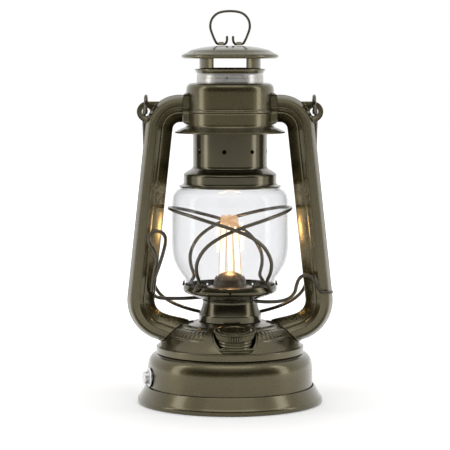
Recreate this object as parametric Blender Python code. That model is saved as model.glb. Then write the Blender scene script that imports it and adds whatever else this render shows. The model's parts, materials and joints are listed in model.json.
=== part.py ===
"""Electric storm lantern in the form of a hurricane oil lamp.

Sizes below are in millimetres and MM turns them into Blender's metres. The lantern stands on
z = 0 with its axis on Z. The front faces -Y and the two side tubes stand at -X and +X. Heights
are measured from the floor and radii from the axis.
"""
import math

import bmesh
import bpy
from mathutils import Matrix, Vector

MM = 0.001
GAP = 0.3                      # clearance between pieces that touch
SHEET = 1.0                    # pressed sheet metal
WIRE_R = 1.3                   # radius of the guard, lever and handle wire

# Driving dimensions
FOOT_R = 67.6
DRUM_R = 60.3
RIM_R = 53.9
RIM_LOW, RIM_HIGH = 36.9, 41.9
NECK_R, NECK_LOW = 22.8, 59.7
NECK_TOP_R, NECK_TOP = 20.0, 75.2
SLEEVE_R, SLEEVE_TOP = 15.6, 82.6
PLATE_HOLE_R = 17.6
CONE_R, CONE_TOP = 12.1, 96.5
FILAMENT_R, FILAMENT_LOW, FILAMENT_TOP = 2.6, 88.6, 137.0
GLOBE_WALL = 1.8
HOLDER_R = 34.0
CHIMNEY_R, CHIMNEY_TOP = 27.1, 208.0
DRAUGHT_R, DRAUGHT_TOP = 24.1, 239.0
HOOD_R, HOOD_LOW, HOOD_TOP = 31.9, 196.8, 233.0
SKIRT_R = 40.2
BOSS_X, BOSS_HALF = 34.0, 13.5
TUBE_START_X = BOSS_X + GAP
TUBE_HIGH = 214.4
TUBE_CORNER_X = 50.05          # where the shoulder's two centre lines cross
TUBE_KNEE = (66.75, 61.0)      # where the leg and the foot's centre lines cross
TUBE_MOUTH = (34.0, 49.1)
TUBE_HALF_WIDTH, TUBE_HALF_DEPTH = 9.95, 9.5
SHOULDER_BEND, KNEE_BEND = 15.2, 18.0
LUG_X, LUG_Z, LUG_HOLE_R = 61.0, 212.0, 3.0
LUG_HALF_THICK, LUG_TOP = 1.0, 219.5
HANDLE_AXIS_Z = 217.25
HANDLE_REST = math.radians(13.7)
HANDLE_REACH = 163.2
HANDLE_HOOK_R = 6.0
CAP_R, CAP_LOW, CAP_TOP = 35.2, 250.5, 259.9
COLLAR_R, COLLAR_LOW, COLLAR_TOP = 22.2, 239.4, 256.7
RING_WIRE_R, RING_AXIS_Z, RING_TOP, RING_HALF = 0.9, 261.1, 284.8, 14.3
LEVER_PIVOT_X, LEVER_PIVOT_Z = -57.2, 81.0
FILLER_X, FILLER_Y, FILLER_TILT = 3.4, -38.3, math.radians(8.0)
WELL_R, WELL_FLOOR, FILLER_CAP_R, FILLER_NECK_R = 16.1, 42.6, 15.25, 12.9
BUTTON_ANGLE, BUTTON_Z = math.radians(196.0), 20.0
BUTTON_R, BEZEL_R, BUTTON_FACE = 4.45, 7.15, 65.5
CELL_R, CELL_X, CELL_Z, CELL_HALF = 9.1, 9.7, 17.0, 32.5
SCREW_X, SCREW_Y = 25.3, 30.0

FINE, MEDIUM, COARSE = 24, 18, 12

PAINT = ("olive_paint", (0.130, 0.112, 0.078), 0.38, 0.75)
DARK_WIRE = ("olive_wire", (0.105, 0.090, 0.062), 0.36, 0.80)
ZINC = ("zinc_sheet", (0.62, 0.63, 0.64), 0.28, 1.0)
SILVER = ("silver_plate", (0.72, 0.72, 0.73), 0.22, 1.0)
GLASS = ("clear_glass", (0.94, 0.96, 0.96), 0.04, 0.0)
GLOW = ("warm_filament", (1.0, 0.78, 0.42), 0.30, 0.0)
BLACK = ("black_plastic", (0.025, 0.025, 0.028), 0.50, 0.0)
BOARD = ("green_board", (0.030, 0.120, 0.055), 0.45, 0.0)
CELL = ("cell_sleeve", (0.050, 0.150, 0.260), 0.40, 0.0)
RUBBER = ("black_rubber", (0.030, 0.030, 0.030), 0.80, 0.0)
STEEL = ("bright_steel", (0.55, 0.55, 0.56), 0.30, 1.0)


def clear_scene():
    for thing in list(bpy.data.objects):
        bpy.data.objects.remove(thing, do_unlink=True)


def finish_of(spec):
    """The Principled material of a finish, made once."""
    name, colour, roughness, metallic = spec
    made = bpy.data.materials.get(name)
    if made is None:
        made = bpy.data.materials.new(name)
        made.use_nodes = True
        shader = made.node_tree.nodes["Principled BSDF"]
        shader.inputs["Base Color"].default_value = (*colour, 1.0)
        shader.inputs["Roughness"].default_value = roughness
        shader.inputs["Metallic"].default_value = metallic
    return made


def frame_at(name, place, turn=None):
    """An empty on a joint's axis. Pieces that turn or slide on that joint are its children."""
    empty = bpy.data.objects.new(name, None)
    bpy.context.scene.collection.objects.link(empty)
    empty.matrix_world = Matrix.Translation(Vector(place) * MM) @ (turn or Matrix.Identity(4))
    return empty


def link_piece(name, data, spec, holder=None):
    piece = bpy.data.objects.new(name, data)
    bpy.context.scene.collection.objects.link(piece)
    if spec:
        data.materials.append(finish_of(spec))
    if holder:
        piece.parent = holder
        piece.matrix_parent_inverse = holder.matrix_world.inverted()
    return piece


def mesh_piece(name, bm, spec=None, holder=None, place=None):
    """An object from a bmesh, which is turned outwards and shaded smooth up to 35 degrees."""
    bmesh.ops.recalc_face_normals(bm, faces=bm.faces)
    if place:
        bm.transform(place)
    mesh = bpy.data.meshes.new(name)
    bm.to_mesh(mesh)
    bm.free()
    mesh.shade_smooth()
    mesh.set_sharp_from_angle(angle=math.radians(35))
    return link_piece(name, mesh, spec, holder)


def spun(outline, steps):
    """A turned solid: the outline of (radius, height) points goes once round the Z axis.

    An outline that starts and ends on the axis closes there. Any other is a ring's section.
    """
    bm = bmesh.new()
    points = [bm.verts.new((r * MM, 0.0, z * MM)) for r, z in outline]
    ends = list(zip(points, points[1:]))
    if outline[0][0] > 0:
        ends.append((points[-1], points[0]))
    edges = [bm.edges.new(pair) for pair in ends]
    bmesh.ops.spin(bm, geom=points + edges, cent=(0, 0, 0), axis=(0, 0, 1),
                   angle=2 * math.pi, steps=steps, use_merge=True)
    bmesh.ops.remove_doubles(bm, verts=bm.verts, dist=0.00001)
    return bm


def turned(name, outline, spec=None, steps=FINE, holder=None, place=None):
    return mesh_piece(name, spun(outline, steps), spec, holder, place)


def wall(outline, thick=SHEET):
    """The section of a sheet whose outer side runs up along the outline: the inner side is
    the outline moved by the thickness, square to its direction. It may end on the axis."""
    inner = []
    for index, (r, z) in enumerate(outline):
        before = Vector(outline[max(index - 1, 0)])
        after = Vector(outline[min(index + 1, len(outline) - 1)])
        along = (after - before).normalized()
        inner.append((r - thick * along.y if r else 0.0, z + thick * along.x))
    return inner[::-1] + outline


def box(name, low, high, spec=None, holder=None, place=None):
    bm = bmesh.new()
    bmesh.ops.create_cube(bm, size=1.0)
    size = [(b - a) * MM for a, b in zip(low, high)]
    middle = [(a + b) * MM / 2 for a, b in zip(low, high)]
    bm.transform(Matrix.Translation(middle) @ Matrix.Diagonal((*size, 1.0)))
    return mesh_piece(name, bm, spec, holder, place)


def plate(name, corners, half_thick, spec=None):
    """A flat plate in the XZ plane: its (x, z) corners extruded along Y both ways."""
    bm = bmesh.new()
    face = bm.faces.new([bm.verts.new((x * MM, -half_thick * MM, z * MM)) for x, z in corners])
    grown = bmesh.ops.extrude_face_region(bm, geom=[face])["geom"]
    moved = [part for part in grown if isinstance(part, bmesh.types.BMVert)]
    bmesh.ops.translate(bm, verts=moved, vec=(0, 2 * half_thick * MM, 0))
    return mesh_piece(name, bm, spec)


def cut(piece, tool, operation="DIFFERENCE"):
    """A Boolean that stays on the piece. The tool is hidden from the build."""
    tool.hide_render = True
    tool.display_type = "WIRE"
    change = piece.modifiers.new(tool.name, "BOOLEAN")
    change.operation = operation
    change.solver = "EXACT"
    change.object = tool
    return piece


def smooth_path(points, per_span=2):
    """Points on a Catmull-Rom curve through the given ones."""
    knots = [Vector(point) for point in points]
    last = len(knots) - 1
    path = []
    for span in range(last):
        a, b = knots[max(span - 1, 0)], knots[span]
        c, d = knots[span + 1], knots[min(span + 2, last)]
        for step in range(per_span):
            t = step / per_span
            path.append(0.5 * (2 * b + (c - a) * t + (2 * a - 5 * b + 4 * c - d) * t * t
                               + (3 * b - a - 3 * c + d) * t ** 3))
    path.append(knots[-1])
    return path


def wire(name, path, radius, spec, holder=None):
    """Round wire along a path, as a curve with a six-sided bevel and filled ends."""
    curve = bpy.data.curves.new(name, "CURVE")
    curve.dimensions = "3D"
    curve.bevel_depth = radius * MM
    curve.bevel_resolution = 1
    curve.use_fill_caps = True
    spline = curve.splines.new("POLY")
    spline.points.add(len(path) - 1)
    for slot, point in zip(spline.points, path):
        slot.co = (*(Vector(point) * MM), 1.0)
    return link_piece(name, curve, spec, holder)


def arc(centre, radius, start, end, steps):
    """(x, z) points on a circle, from a start angle to an end angle in degrees."""
    angles = [math.radians(start + (end - start) * k / steps) for k in range(steps + 1)]
    return [(centre[0] + radius * math.cos(a), centre[1] + radius * math.sin(a)) for a in angles]


def facing(angle, height):
    """Turns a piece made along Z so that it points outwards at an angle round the lantern."""
    return (Matrix.Translation((0, 0, height * MM)) @ Matrix.Rotation(angle, 4, "Z")
            @ Matrix.Rotation(math.pi / 2, 4, "Y"))


FILLER_PLACE = (Matrix.Translation(Vector((FILLER_X, FILLER_Y, WELL_FLOOR)) * MM)
                @ Matrix.Rotation(FILLER_TILT, 4, "X"))
BUTTON_PLACE = facing(BUTTON_ANGLE, BUTTON_Z)
DOME_SLOPE = [(51.3, 43.4), (46.5, 48.8), (40.6, 54.0), (34.8, 57.0), (26.9, 58.7),
              (NECK_R + 0.4, NECK_LOW - 0.4)]
GLOBE_OUTLINE = [(30.0, 80.9), (32.8, 90.2), (36.8, 95.5), (41.0, 103.5), (42.7, 115.0),
                 (42.5, 147.0), (39.9, 154.4), (36.6, 156.6), (32.7, 158.2), (32.2, 166.3)]
GUARD_TURN = Matrix.Rotation(math.radians(5.0), 4, "Z")


def make_base():
    """The pressed base: a recessed floor inside a flat foot, and a flare up to the drum."""
    floor_low, floor_high = 3.0, 4.2
    outline = [(0, floor_low), (58.5, floor_low), (60.5, 0), (66.8, 0), (FOOT_R, 0.9),
               (FOOT_R, 3.4), (66.7, 4.4), (64.6, 7.9), (61.8, 12.3), (60.8, 12.3), (63.4, 7.2),
               (64.4, 5.0), (60.0, floor_high), (0, floor_high)]
    base = turned("base_plate", outline, PAINT)
    for number, (x, y) in enumerate(screw_places(), start=1):
        hole = [(0, 2.0), (1.5, 2.0), (1.5, 6.0), (0, 6.0)]
        cut(base, turned(f"base_hole_{number}", hole, steps=12, place=at(x, y)))
        screw = [(0, 1.2), (2.4, 1.2), (2.8, 1.7), (2.8, 2.7), (1.2, 2.7), (1.2, 11.0), (0, 11.0)]
        turned(f"base_screw_{number}", screw, STEEL, steps=12, place=at(x, y))


def at(x, y, z=0.0):
    return Matrix.Translation(Vector((x, y, z)) * MM)


def screw_places():
    return [(x, y) for x in (-SCREW_X, SCREW_X) for y in (-SCREW_Y, SCREW_Y)]


def make_tank():
    """The drum with its rounded shoulder, the dome, and the cup that the filler stands in."""
    collar_r, collar_top = 52.2, 40.9
    drum_outline = [(DRUM_R, 4.6), (DRUM_R, 25.7), (59.9, 29.5), (58.6, 33.1), (56.3, 35.6),
                    (53.0, 36.3), (collar_r, 36.8), (collar_r, collar_top)]
    drum = turned("tank_drum", wall(drum_outline), PAINT)
    button_hole = [(0, 50), (BUTTON_R + 0.95, 50), (BUTTON_R + 0.95, 70), (0, 70)]
    cut(drum, turned("button_hole", button_hole, steps=COARSE, place=BUTTON_PLACE))

    dome_outline = [(RIM_R, RIM_LOW), (RIM_R, RIM_HIGH - 0.6), (52.6, RIM_HIGH),
                    *DOME_SLOPE, (18.0, NECK_LOW - 0.3)]
    dome = turned("tank_dome", wall(dome_outline), PAINT)
    well_place = at(FILLER_X, FILLER_Y)
    mouth = [(0, WELL_FLOOR - GAP), (WELL_R + GAP, WELL_FLOOR - GAP), (WELL_R + GAP, 66), (0, 66)]
    cut(dome, turned("well_mouth", mouth, steps=MEDIUM, place=well_place))

    low = WELL_FLOOR - 0.9
    cup = [(0, low), (WELL_R, low), (WELL_R, 64), (WELL_R - SHEET, 64),
           (WELL_R - SHEET, WELL_FLOOR), (0, WELL_FLOOR)]
    well = turned("filler_well", cup, PAINT, steps=MEDIUM, place=well_place)
    slope = [(0, 30), (50.0, 30), (50.0, 44.4), *DOME_SLOPE[1:], (0, NECK_LOW - 0.35)]
    cut(well, turned("dome_body", slope), "INTERSECT")


def make_filler():
    """The ribbed neck, its charging socket, the rubber seal and the knurled screw cap."""
    neck = [(9.2, 2.1), (12.2, 2.1)]
    for rib in (3.5, 5.6, 7.7):
        neck += [(12.2, rib - 0.8), (FILLER_NECK_R, rib), (12.2, rib + 0.8)]
    neck += [(12.2, 9.0), (10.3, 9.1), (10.3, 12.6), (9.2, 12.6)]
    turned("filler_neck", neck, PAINT, steps=MEDIUM, place=FILLER_PLACE)
    body = [(0, 2.0), (8.8, 2.0), (8.8, 10.0), (0, 10.0)]
    socket = turned("charge_socket", body, BLACK, steps=COARSE, place=FILLER_PLACE)
    slot = box("plug_slot", (-4.6, -1.7, 3.5), (4.6, 1.7, 12.0), place=FILLER_PLACE)
    cut(socket, slot)

    rise = frame_at("cap_rise_axis", (0, 0, 0), FILLER_PLACE)
    seal = [(8.9, 12.9), (10.9, 12.9), (10.9, 14.1), (8.9, 14.1)]
    turned("cap_seal", seal, RUBBER, MEDIUM, rise, FILLER_PLACE)
    turn = frame_at("cap_turn_axis", (0, 0, 0), FILLER_PLACE)
    turn.parent = rise
    turn.matrix_parent_inverse = rise.matrix_world.inverted()
    cap = [(0, 15.9), (9.0, 15.7), (13.6, 15.5), (FILLER_CAP_R, 15.2), (FILLER_CAP_R, 14.4),
           (14.5, 13.8), (13.3, 9.6), (11.5, 9.6), (11.5, 14.4), (0, 14.4)]
    turned("filler_cap", cap, PAINT, MEDIUM, turn, FILLER_PLACE)


def make_switch():
    """The push button in its bezel on the drum, with its spring and the switch behind it."""
    bezel = [(BUTTON_R + 0.3, 57.6), (5.1, 57.6), (5.1, 60.65), (BEZEL_R, 60.65),
             (BEZEL_R, 61.5), (6.6, 61.9), (BUTTON_R + 0.3, 61.9)]
    turned("button_bezel", bezel, SILVER, steps=COARSE, place=BUTTON_PLACE)
    axis = frame_at("button_axis", (0, 0, 0), BUTTON_PLACE)
    button = [(0, 58.0), (3.8, 58.0), (3.8, 54.5), (BUTTON_R, 54.5), (BUTTON_R, 64.9),
              (3.9, BUTTON_FACE), (0, BUTTON_FACE)]
    turned("power_button", button, SILVER, COARSE, axis, BUTTON_PLACE)
    box("push_switch", (-5, -5, 43), (5, 5, 51.4), BLACK, place=BUTTON_PLACE)
    coil = [BUTTON_PLACE @ (Vector(point) * MM) / MM for point in helix(3.1, 52.1, 55.7, 2.0, 10)]
    wire("button_spring", coil, 0.3, STEEL)


def helix(radius, low, high, turns, per_turn=14):
    """Points of a coil spring, rising evenly."""
    count = round(turns * per_turn)
    angles = [2 * math.pi * turns * k / count for k in range(count + 1)]
    return [(radius * math.cos(a), radius * math.sin(a), low + (high - low) * k / count)
            for k, a in enumerate(angles)]


def make_electrics():
    """Two round cells in their cradle, the driver board and the lead up to the filaments."""
    low, high = 4.7, 15.0
    cradle = box("battery_cradle", (-30, -36, low), (30, 36, high), BLACK)
    pocket = box("cell_pocket", (-20.2, -33.4, 7.2), (20.2, 33.4, high + 1))
    cut(cradle, pocket)
    for side in (-1, 1):
        post = box(f"board_post_{side + 2}", (side * 26.5 - 2, -3, high - 2),
                   (side * 26.5 + 2, 3, 28.2))
        cut(cradle, post, "UNION")
    for number, (x, y) in enumerate(screw_places(), start=1):
        pilot = [(0, low - 1), (1.5, low - 1), (1.5, 11.6), (0, 11.6)]
        cut(cradle, turned(f"pilot_{number}", pilot, steps=12, place=at(x, y)))
    cell = [(0, -CELL_HALF), (CELL_R, -CELL_HALF), (CELL_R, CELL_HALF - 1),
            (3, CELL_HALF - 1), (3, CELL_HALF), (0, CELL_HALF)]
    for side, label in ((-1, "left"), (1, "right")):
        lying = at(side * CELL_X, 0, CELL_Z) @ Matrix.Rotation(side * math.pi / 2, 4, "X")
        turned(f"battery_cell_{label}", cell, CELL, COARSE, place=lying)
    turned("circuit_board", [(0, 28.6), (29, 28.6), (29, 30.2), (0, 30.2)], BOARD, COARSE)
    route = smooth_path([(8, 2, 32.1), (10, 2, 40), (6, 1, 55), (2, 1, 70), (0, 1, 83.1)], 3)
    wire("led_lead", route, 1.4, BLACK)


def make_burner():
    """The waisted neck, the domed cone with its slot, and the filament tubes in it."""
    neck = [(NECK_R, NECK_LOW), (NECK_R, 64.3), (22.3, 65.4), (20.6, 70.5),
            (NECK_TOP_R, 73.4), (NECK_TOP_R + 0.1, NECK_TOP)]
    sleeve = [(SLEEVE_R, NECK_TOP + 0.1), (SLEEVE_R, SLEEVE_TOP), (SLEEVE_R - SHEET, SLEEVE_TOP),
              (SLEEVE_R - SHEET, NECK_TOP - 1.0), (18.8, NECK_TOP - 1.1), (19.4, 70.3),
              (21.2, 65.2), (NECK_R - SHEET, 64.0), (NECK_R - SHEET, NECK_LOW)]
    turned("burner_neck", neck + sleeve, PAINT)
    cone = [(0, CONE_TOP), (4.0, 96.2), (7.2, 95.1), (9.9, 92.9), (11.6, 89.8), (CONE_R, 86.0),
            (12.4, 84.7), (16.6, 84.4), (16.6, 83.0), (11.3, 83.0), (11.1, 86.0), (10.7, 89.4),
            (9.1, 92.1), (6.6, 94.1), (3.8, 95.0), (0, 95.3)]
    shell = turned("burner_cone", cone, PAINT, steps=MEDIUM)
    cut(shell, box("cone_slot", (-9.6, -4.0, 90.0), (9.6, 8.4, 98.0)))
    turned("filament_holder", [(0, 85.0), (10.5, 85.0), (10.5, 88.2), (0, 88.2)], BLACK, COARSE)
    places = {"left": ((-6.0, 0.0), (-4.4, 0.0)), "right": ((6.2, 0.0), (3.3, 0.0)),
              "back": ((0.3, 5.2), (-0.6, 4.9))}
    for label, (foot, tip) in places.items():
        low = Vector((*foot, FILAMENT_LOW))
        high = Vector((*tip, FILAMENT_TOP))
        rise = high - low
        lean = rise.to_track_quat("Z", "Y").to_matrix().to_4x4()
        tube = [(0, 0), (FILAMENT_R, 0), (FILAMENT_R, rise.length - 2.2),
                (1.9, rise.length - 0.7), (0, rise.length)]
        turned(f"led_filament_{label}", tube, GLOW, 12, place=at(*low) @ lean)


def tube_route():
    """(x, z) stations of the right side tube's centre line, and the outward direction at each:
    out of the hood, down the leg and in to the dome, with two bends."""
    corners = [Vector((TUBE_START_X, TUBE_HIGH)), Vector((TUBE_CORNER_X, TUBE_HIGH)),
               Vector(TUBE_KNEE), Vector(TUBE_MOUTH)]
    stations = [corners[0]]
    for index, bend, steps in ((1, SHOULDER_BEND, 6), (2, KNEE_BEND, 6)):
        back = (corners[index - 1] - corners[index]).normalized()
        on = (corners[index + 1] - corners[index]).normalized()
        half = back.angle(on) / 2
        centre = corners[index] + (back + on).normalized() * bend / math.sin(half)
        first = corners[index] + back * bend / math.tan(half) - centre
        turn = -(math.pi - 2 * half) / steps
        for step in range(steps + 1):
            swing = Matrix.Rotation(turn * step, 2)
            stations.append(centre + swing @ first)
    stations.append(corners[3])
    return stations


def tube_section():
    """(outward, depth) points round the pressed tube: a flat strip front and back, a narrow
    seam on the outer side and two slanted facets, each with a step, towards the globe."""
    half = [(TUBE_HALF_WIDTH, 0.8), (9.4, 3.6), (7.0, 8.8), (6.2, TUBE_HALF_DEPTH),
            (0.8, TUBE_HALF_DEPTH), (0.0, 8.9), (-4.2, 6.3), (-TUBE_HALF_WIDTH, 1.1)]
    return half + [(u, -v) for u, v in half[::-1]]


def make_side_tube(side, label):
    """A hollow tube carried along its route, widened at its mouth on the dome, with the lug
    for the handle at its shoulder. side is +1 at +X and -1 at -X."""
    stations = tube_route()
    outer = tube_section()
    inner = [(u * 0.88, v * 0.88) for u, v in outer]
    bm = bmesh.new()
    rings = []
    for index, station in enumerate(stations):
        before = stations[max(index - 1, 0)]
        after = stations[min(index + 1, len(stations) - 1)]
        along = (after - before).normalized()
        outward = Vector((-along.y, along.x))
        widen = 1.16 if index == len(stations) - 1 else 1.0
        for section in (outer, inner):
            ring = []
            for u, v in section:
                x, z = station + outward * u * widen
                ring.append(bm.verts.new((side * x * MM, v * MM, z * MM)))
            rings.append(ring)
    count = len(outer)
    for first, second in ([(k, k + 2) for k in range(len(rings) - 2)]
                          + [(0, 1), (len(rings) - 2, len(rings) - 1)]):
        for k in range(count):
            nxt = (k + 1) % count
            bm.faces.new((rings[first][k], rings[first][nxt],
                          rings[second][nxt], rings[second][k]))
    tube = mesh_piece(f"side_tube_{label}", bm, PAINT)

    eye = arc((60.2, LUG_Z), LUG_TOP - LUG_Z, 90, -52, 7)
    corners = [(57.5, 200.5), (49.5, 210.0), (50.3, LUG_TOP), *eye]
    lug = plate(f"lug_{label}", [(side * x, z) for x, z in corners], LUG_HALF_THICK)
    cut(tube, lug, "UNION")
    through = [(0, -4), (LUG_HOLE_R, -4), (LUG_HOLE_R, 4), (0, 4)]
    across = at(side * LUG_X, 0, LUG_Z) @ Matrix.Rotation(math.pi / 2, 4, "X")
    cut(tube, turned(f"lug_eye_{label}", through, steps=16, place=across))
    body = [(0, 20), (54.3, 20), (54.3, 42.2), *[(r + 0.35, z + 0.3) for r, z in DOME_SLOPE],
            (NECK_R + 0.4, 64.8), (NECK_TOP_R + 0.7, 76.0), (0, 76.0)]
    cut(tube, turned(f"dome_clearance_{label}", body))
    if side < 0:
        pin = [(0, -15), (WIRE_R + 0.4, -15), (WIRE_R + 0.4, 15), (0, 15)]
        through_tube = at(LEVER_PIVOT_X, 0, LEVER_PIVOT_Z) @ Matrix.Rotation(math.pi / 2, 4, "X")
        cut(tube, turned("lever_hole", pin, steps=12, place=through_tube))


def make_hood():
    """The fixed hood: a skirt, a bead and a rounded top, with a flat boss for each tube."""
    outline = [(SKIRT_R, HOOD_LOW), (SKIRT_R, 197.6), (36.4, 199.7), (32.6, 201.0),
               (HOOD_R, 202.2), (HOOD_R, 211.2), (32.9, 211.9), (32.9, 213.1), (HOOD_R, 213.8),
               (HOOD_R, 229.3), (30.6, 231.9), (27.6, HOOD_TOP), (25.0, HOOD_TOP)]
    hood = turned("hood", wall(outline), PAINT)
    for side, label in ((-1, "left"), (1, "right")):
        near, far = sorted((side * 26.5, side * BOSS_X))
        boss = box(f"boss_{label}", (near, -BOSS_HALF, 203.6), (far, BOSS_HALF, 225.2))
        cut(hood, boss, "UNION")
    cavity = [(0, 198), (30.2, 198), (30.2, 229), (0, 229)]
    cut(hood, turned("hood_cavity", cavity))
    cut(hood, box("duct", (-40, -7, 207.5), (40, 7, 221.3)))


def make_carrier():
    """What the lever lifts: the pierced plate, the globe, its guard wires and guide wire."""
    lift = frame_at("globe_lift_axis", (0, 0, NECK_TOP))
    saucer = [(PLATE_HOLE_R, 75.7), (22.0, 76.3), (28.2, 78.6), (33.2, 80.6), (34.4, 82.4),
              (34.3, 84.2), (33.6, 86.2)]
    turned("globe_plate", wall(saucer, 0.9), PAINT, FINE, lift)
    turned("globe", wall(GLOBE_OUTLINE, GLOBE_WALL), GLASS, FINE, lift)
    for side, label in ((1, "a"), (-1, "b")):
        path = [GUARD_TURN @ Vector((side * x, y, z))
                for x, y, z in guard_route(2.9 if side < 0 else 0.0)]
        wire(f"guard_wire_{label}", path, WIRE_R, DARK_WIRE, lift)
    front = -11.8
    guide = [(19, -13, 75.1), (27, -12.6, 74.6), (36, front, 75.0), (42.5, front, 77.0),
             (46.8, front, 81.5), (48.2, front, 86.5), (50.2, front, 91.5), (54.5, front, 94.0),
             (58.5, front, 92.8), (62.0, front, 88.0), (64.8, front, 83.5), (67.2, front, 81.5),
             (70.4, -11.7, 81.3), (72.6, -10.4, 81.3), (73.8, -8.0, 81.3)]
    wire("guide_wire", smooth_path(guide, 2), WIRE_R, DARK_WIRE, lift)
    return lift


def globe_radius(z):
    for (r0, z0), (r1, z1) in zip(GLOBE_OUTLINE, GLOBE_OUTLINE[1:]):
        if z <= z1:
            return r0 + (r1 - r0) * (z - z0) / (z1 - z0)
    return GLOBE_OUTLINE[-1][0]


def guard_route(lift_over):
    """One guard wire: highest at +X, it follows the globe round both ways and comes down to
    the plate's rim on the far side. Where the two wires cross, one bows out over the other."""
    heights = [(0, 142.0), (25, 141.0), (52, 137.6), (80, 132.0), (95, 127.5), (105, 123.6),
               (115, 118.3), (122.7, 112.0), (128.5, 104.7), (132, 97.5), (134.5, 90.5)]
    half = []
    for angle, z in heights:
        bow = max(0.0, math.cos(math.radians((angle - 90) * 3))) if abs(angle - 90) < 30 else 0.0
        half.append((angle, globe_radius(z) + WIRE_R + 0.5 + lift_over * bow, z))
    half += [(137.0, 36.2, 86.2), (139.5, 36.3, 83.2)]
    around = [(-angle, r, z) for angle, r, z in half[:0:-1]] + half
    points = [(r * math.cos(math.radians(a)), r * math.sin(math.radians(a)), z)
              for a, r, z in around]
    return smooth_path(points, 2)


def make_lever():
    """The lift lever: a finger loop in front of the left tube, a pin through the tube, and an
    arm behind it that reaches under the plate."""
    axis = frame_at("lever_axis", (LEVER_PIVOT_X, 0, LEVER_PIVOT_Z))
    x, z = LEVER_PIVOT_X, LEVER_PIVOT_Z
    front, clear = -12.7, -11.4
    loop = [(-54.8, front, 91.5), (-53.0, front, 96.5), (-50.4, front, 104), (-48.0, front, 112),
            (-46.6, -12.2, 119.5), (-48.4, -11.6, 124.2), (-52.6, -11.4, 126.0),
            (-57.0, -11.4, 124.6), (-58.8, -11.3, 120.5), (-57.4, clear, 115.2),
            (-54.6, clear, 111.0), (-53.2, clear, 106.0), (-54.2, -10.9, 100.0),
            (-55.6, -9.6, 93.0), (-56.8, -7.4, 85.6)]
    arm = [(x, -5.4, z), (x, 0, z), (x, 5.4, z), (-56.2, 7.4, 77.6), (-52.5, 8.8, 75.2),
           (-46, 9.8, 74.5), (-34, 11.6, 74.3), (-24, 13.6, 74.7), (-18.6, 14.6, 74.9)]
    wire("lift_lever", smooth_path(loop + arm, 2), WIRE_R, DARK_WIRE, axis)


def make_chimney(carrier):
    """The globe holder with its chimney, the bright draught tube, collar, cap and clips."""
    lift = frame_at("chimney_lift_axis", (0, 0, 166.3))
    lift.parent = carrier
    lift.matrix_parent_inverse = carrier.matrix_world.inverted()
    outline = [(37.1, 157.8), (37.1, 158.5), (34.4, 159.3), (HOLDER_R, 160.2), (HOLDER_R, 166.8),
               (33.0, 167.8), (27.7, 171.0), (CHIMNEY_R, 172.2), (CHIMNEY_R, CHIMNEY_TOP)]
    turned("chimney_tube", wall(outline), PAINT, FINE, lift)
    draught = [(25.8, 200.0), (25.8, 200.9), (24.4, 201.4), (DRAUGHT_R, 202.2),
               (DRAUGHT_R, DRAUGHT_TOP), (DRAUGHT_R - 0.8, DRAUGHT_TOP), (DRAUGHT_R - 0.8, 200.0)]
    turned("draught_tube", draught, ZINC, FINE, lift)
    wire("chimney_spring", helix(27.4, 209.0, 231.0, 3.5, 12), 0.6, STEEL)
    collar = [(23.9, COLLAR_LOW), (25.6, 242.2), (25.6, 243.0), (COLLAR_R, 243.3),
              (COLLAR_R, COLLAR_TOP), (21.2, COLLAR_TOP), (21.2, 242.4), (24.4, 242.0),
              (22.9, COLLAR_LOW)]
    ring = turned("cap_collar", collar, PAINT, FINE, lift)
    cut(ring, box("collar_window", (-12, -30, 243.9), (12, 30, 252.0)))
    cap = [(34.0, CAP_LOW), (CAP_R, 251.6), (CAP_R, 252.8), (33.4, 254.0), (30.6, 255.2),
           (28.2, 256.7), (21.0, 258.4), (12.6, 259.5), (0, CAP_TOP)]
    turned("top_cap", wall(cap, 0.9), PAINT, FINE, lift)

    strap = [(-4.4, 260.1), (-4.4, 260.6), (-1.9, 260.7), (-1.8, 261.5), (-1.3, 262.4),
             (0, 262.9), (1.3, 262.4), (1.8, 261.5), (1.9, 260.7), (4.4, 260.6), (4.4, 260.1),
             (1.35, 260.1), (1.3, 261.3), (0.9, 262.0), (0, 262.35), (-0.9, 262.0),
             (-1.3, 261.3), (-1.35, 260.1)]
    for side, label in ((-1, "left"), (1, "right")):
        clip = plate(f"ring_clip_{label}", strap, 1.8, PAINT)
        clip.data.transform(at(side * 6.4, 0) @ Matrix.Rotation(math.pi / 2, 4, "Z"))
        clip.parent = lift
        clip.matrix_parent_inverse = lift.matrix_world.inverted()

    hinge = frame_at("ring_axis", (0, 0, RING_AXIS_Z))
    hinge.parent = lift
    hinge.matrix_parent_inverse = lift.matrix_world.inverted()
    half = [(2.2, 266.0), (2.3, 263.2), (3.6, RING_AXIS_Z), (6.2, RING_AXIS_Z),
            (8.8, RING_AXIS_Z), (10.4, 262.6), (12.7, 267.6), (RING_HALF, 273.4),
            (12.9, 279.2), (8.2, 283.4)]
    ring_path = half + [(0, RING_TOP)] + [(-x, z) for x, z in half[::-1]]
    wire("cap_ring", smooth_path([(x, 0, z) for x, z in ring_path], 2), RING_WIRE_R,
         DARK_WIRE, hinge)


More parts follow.
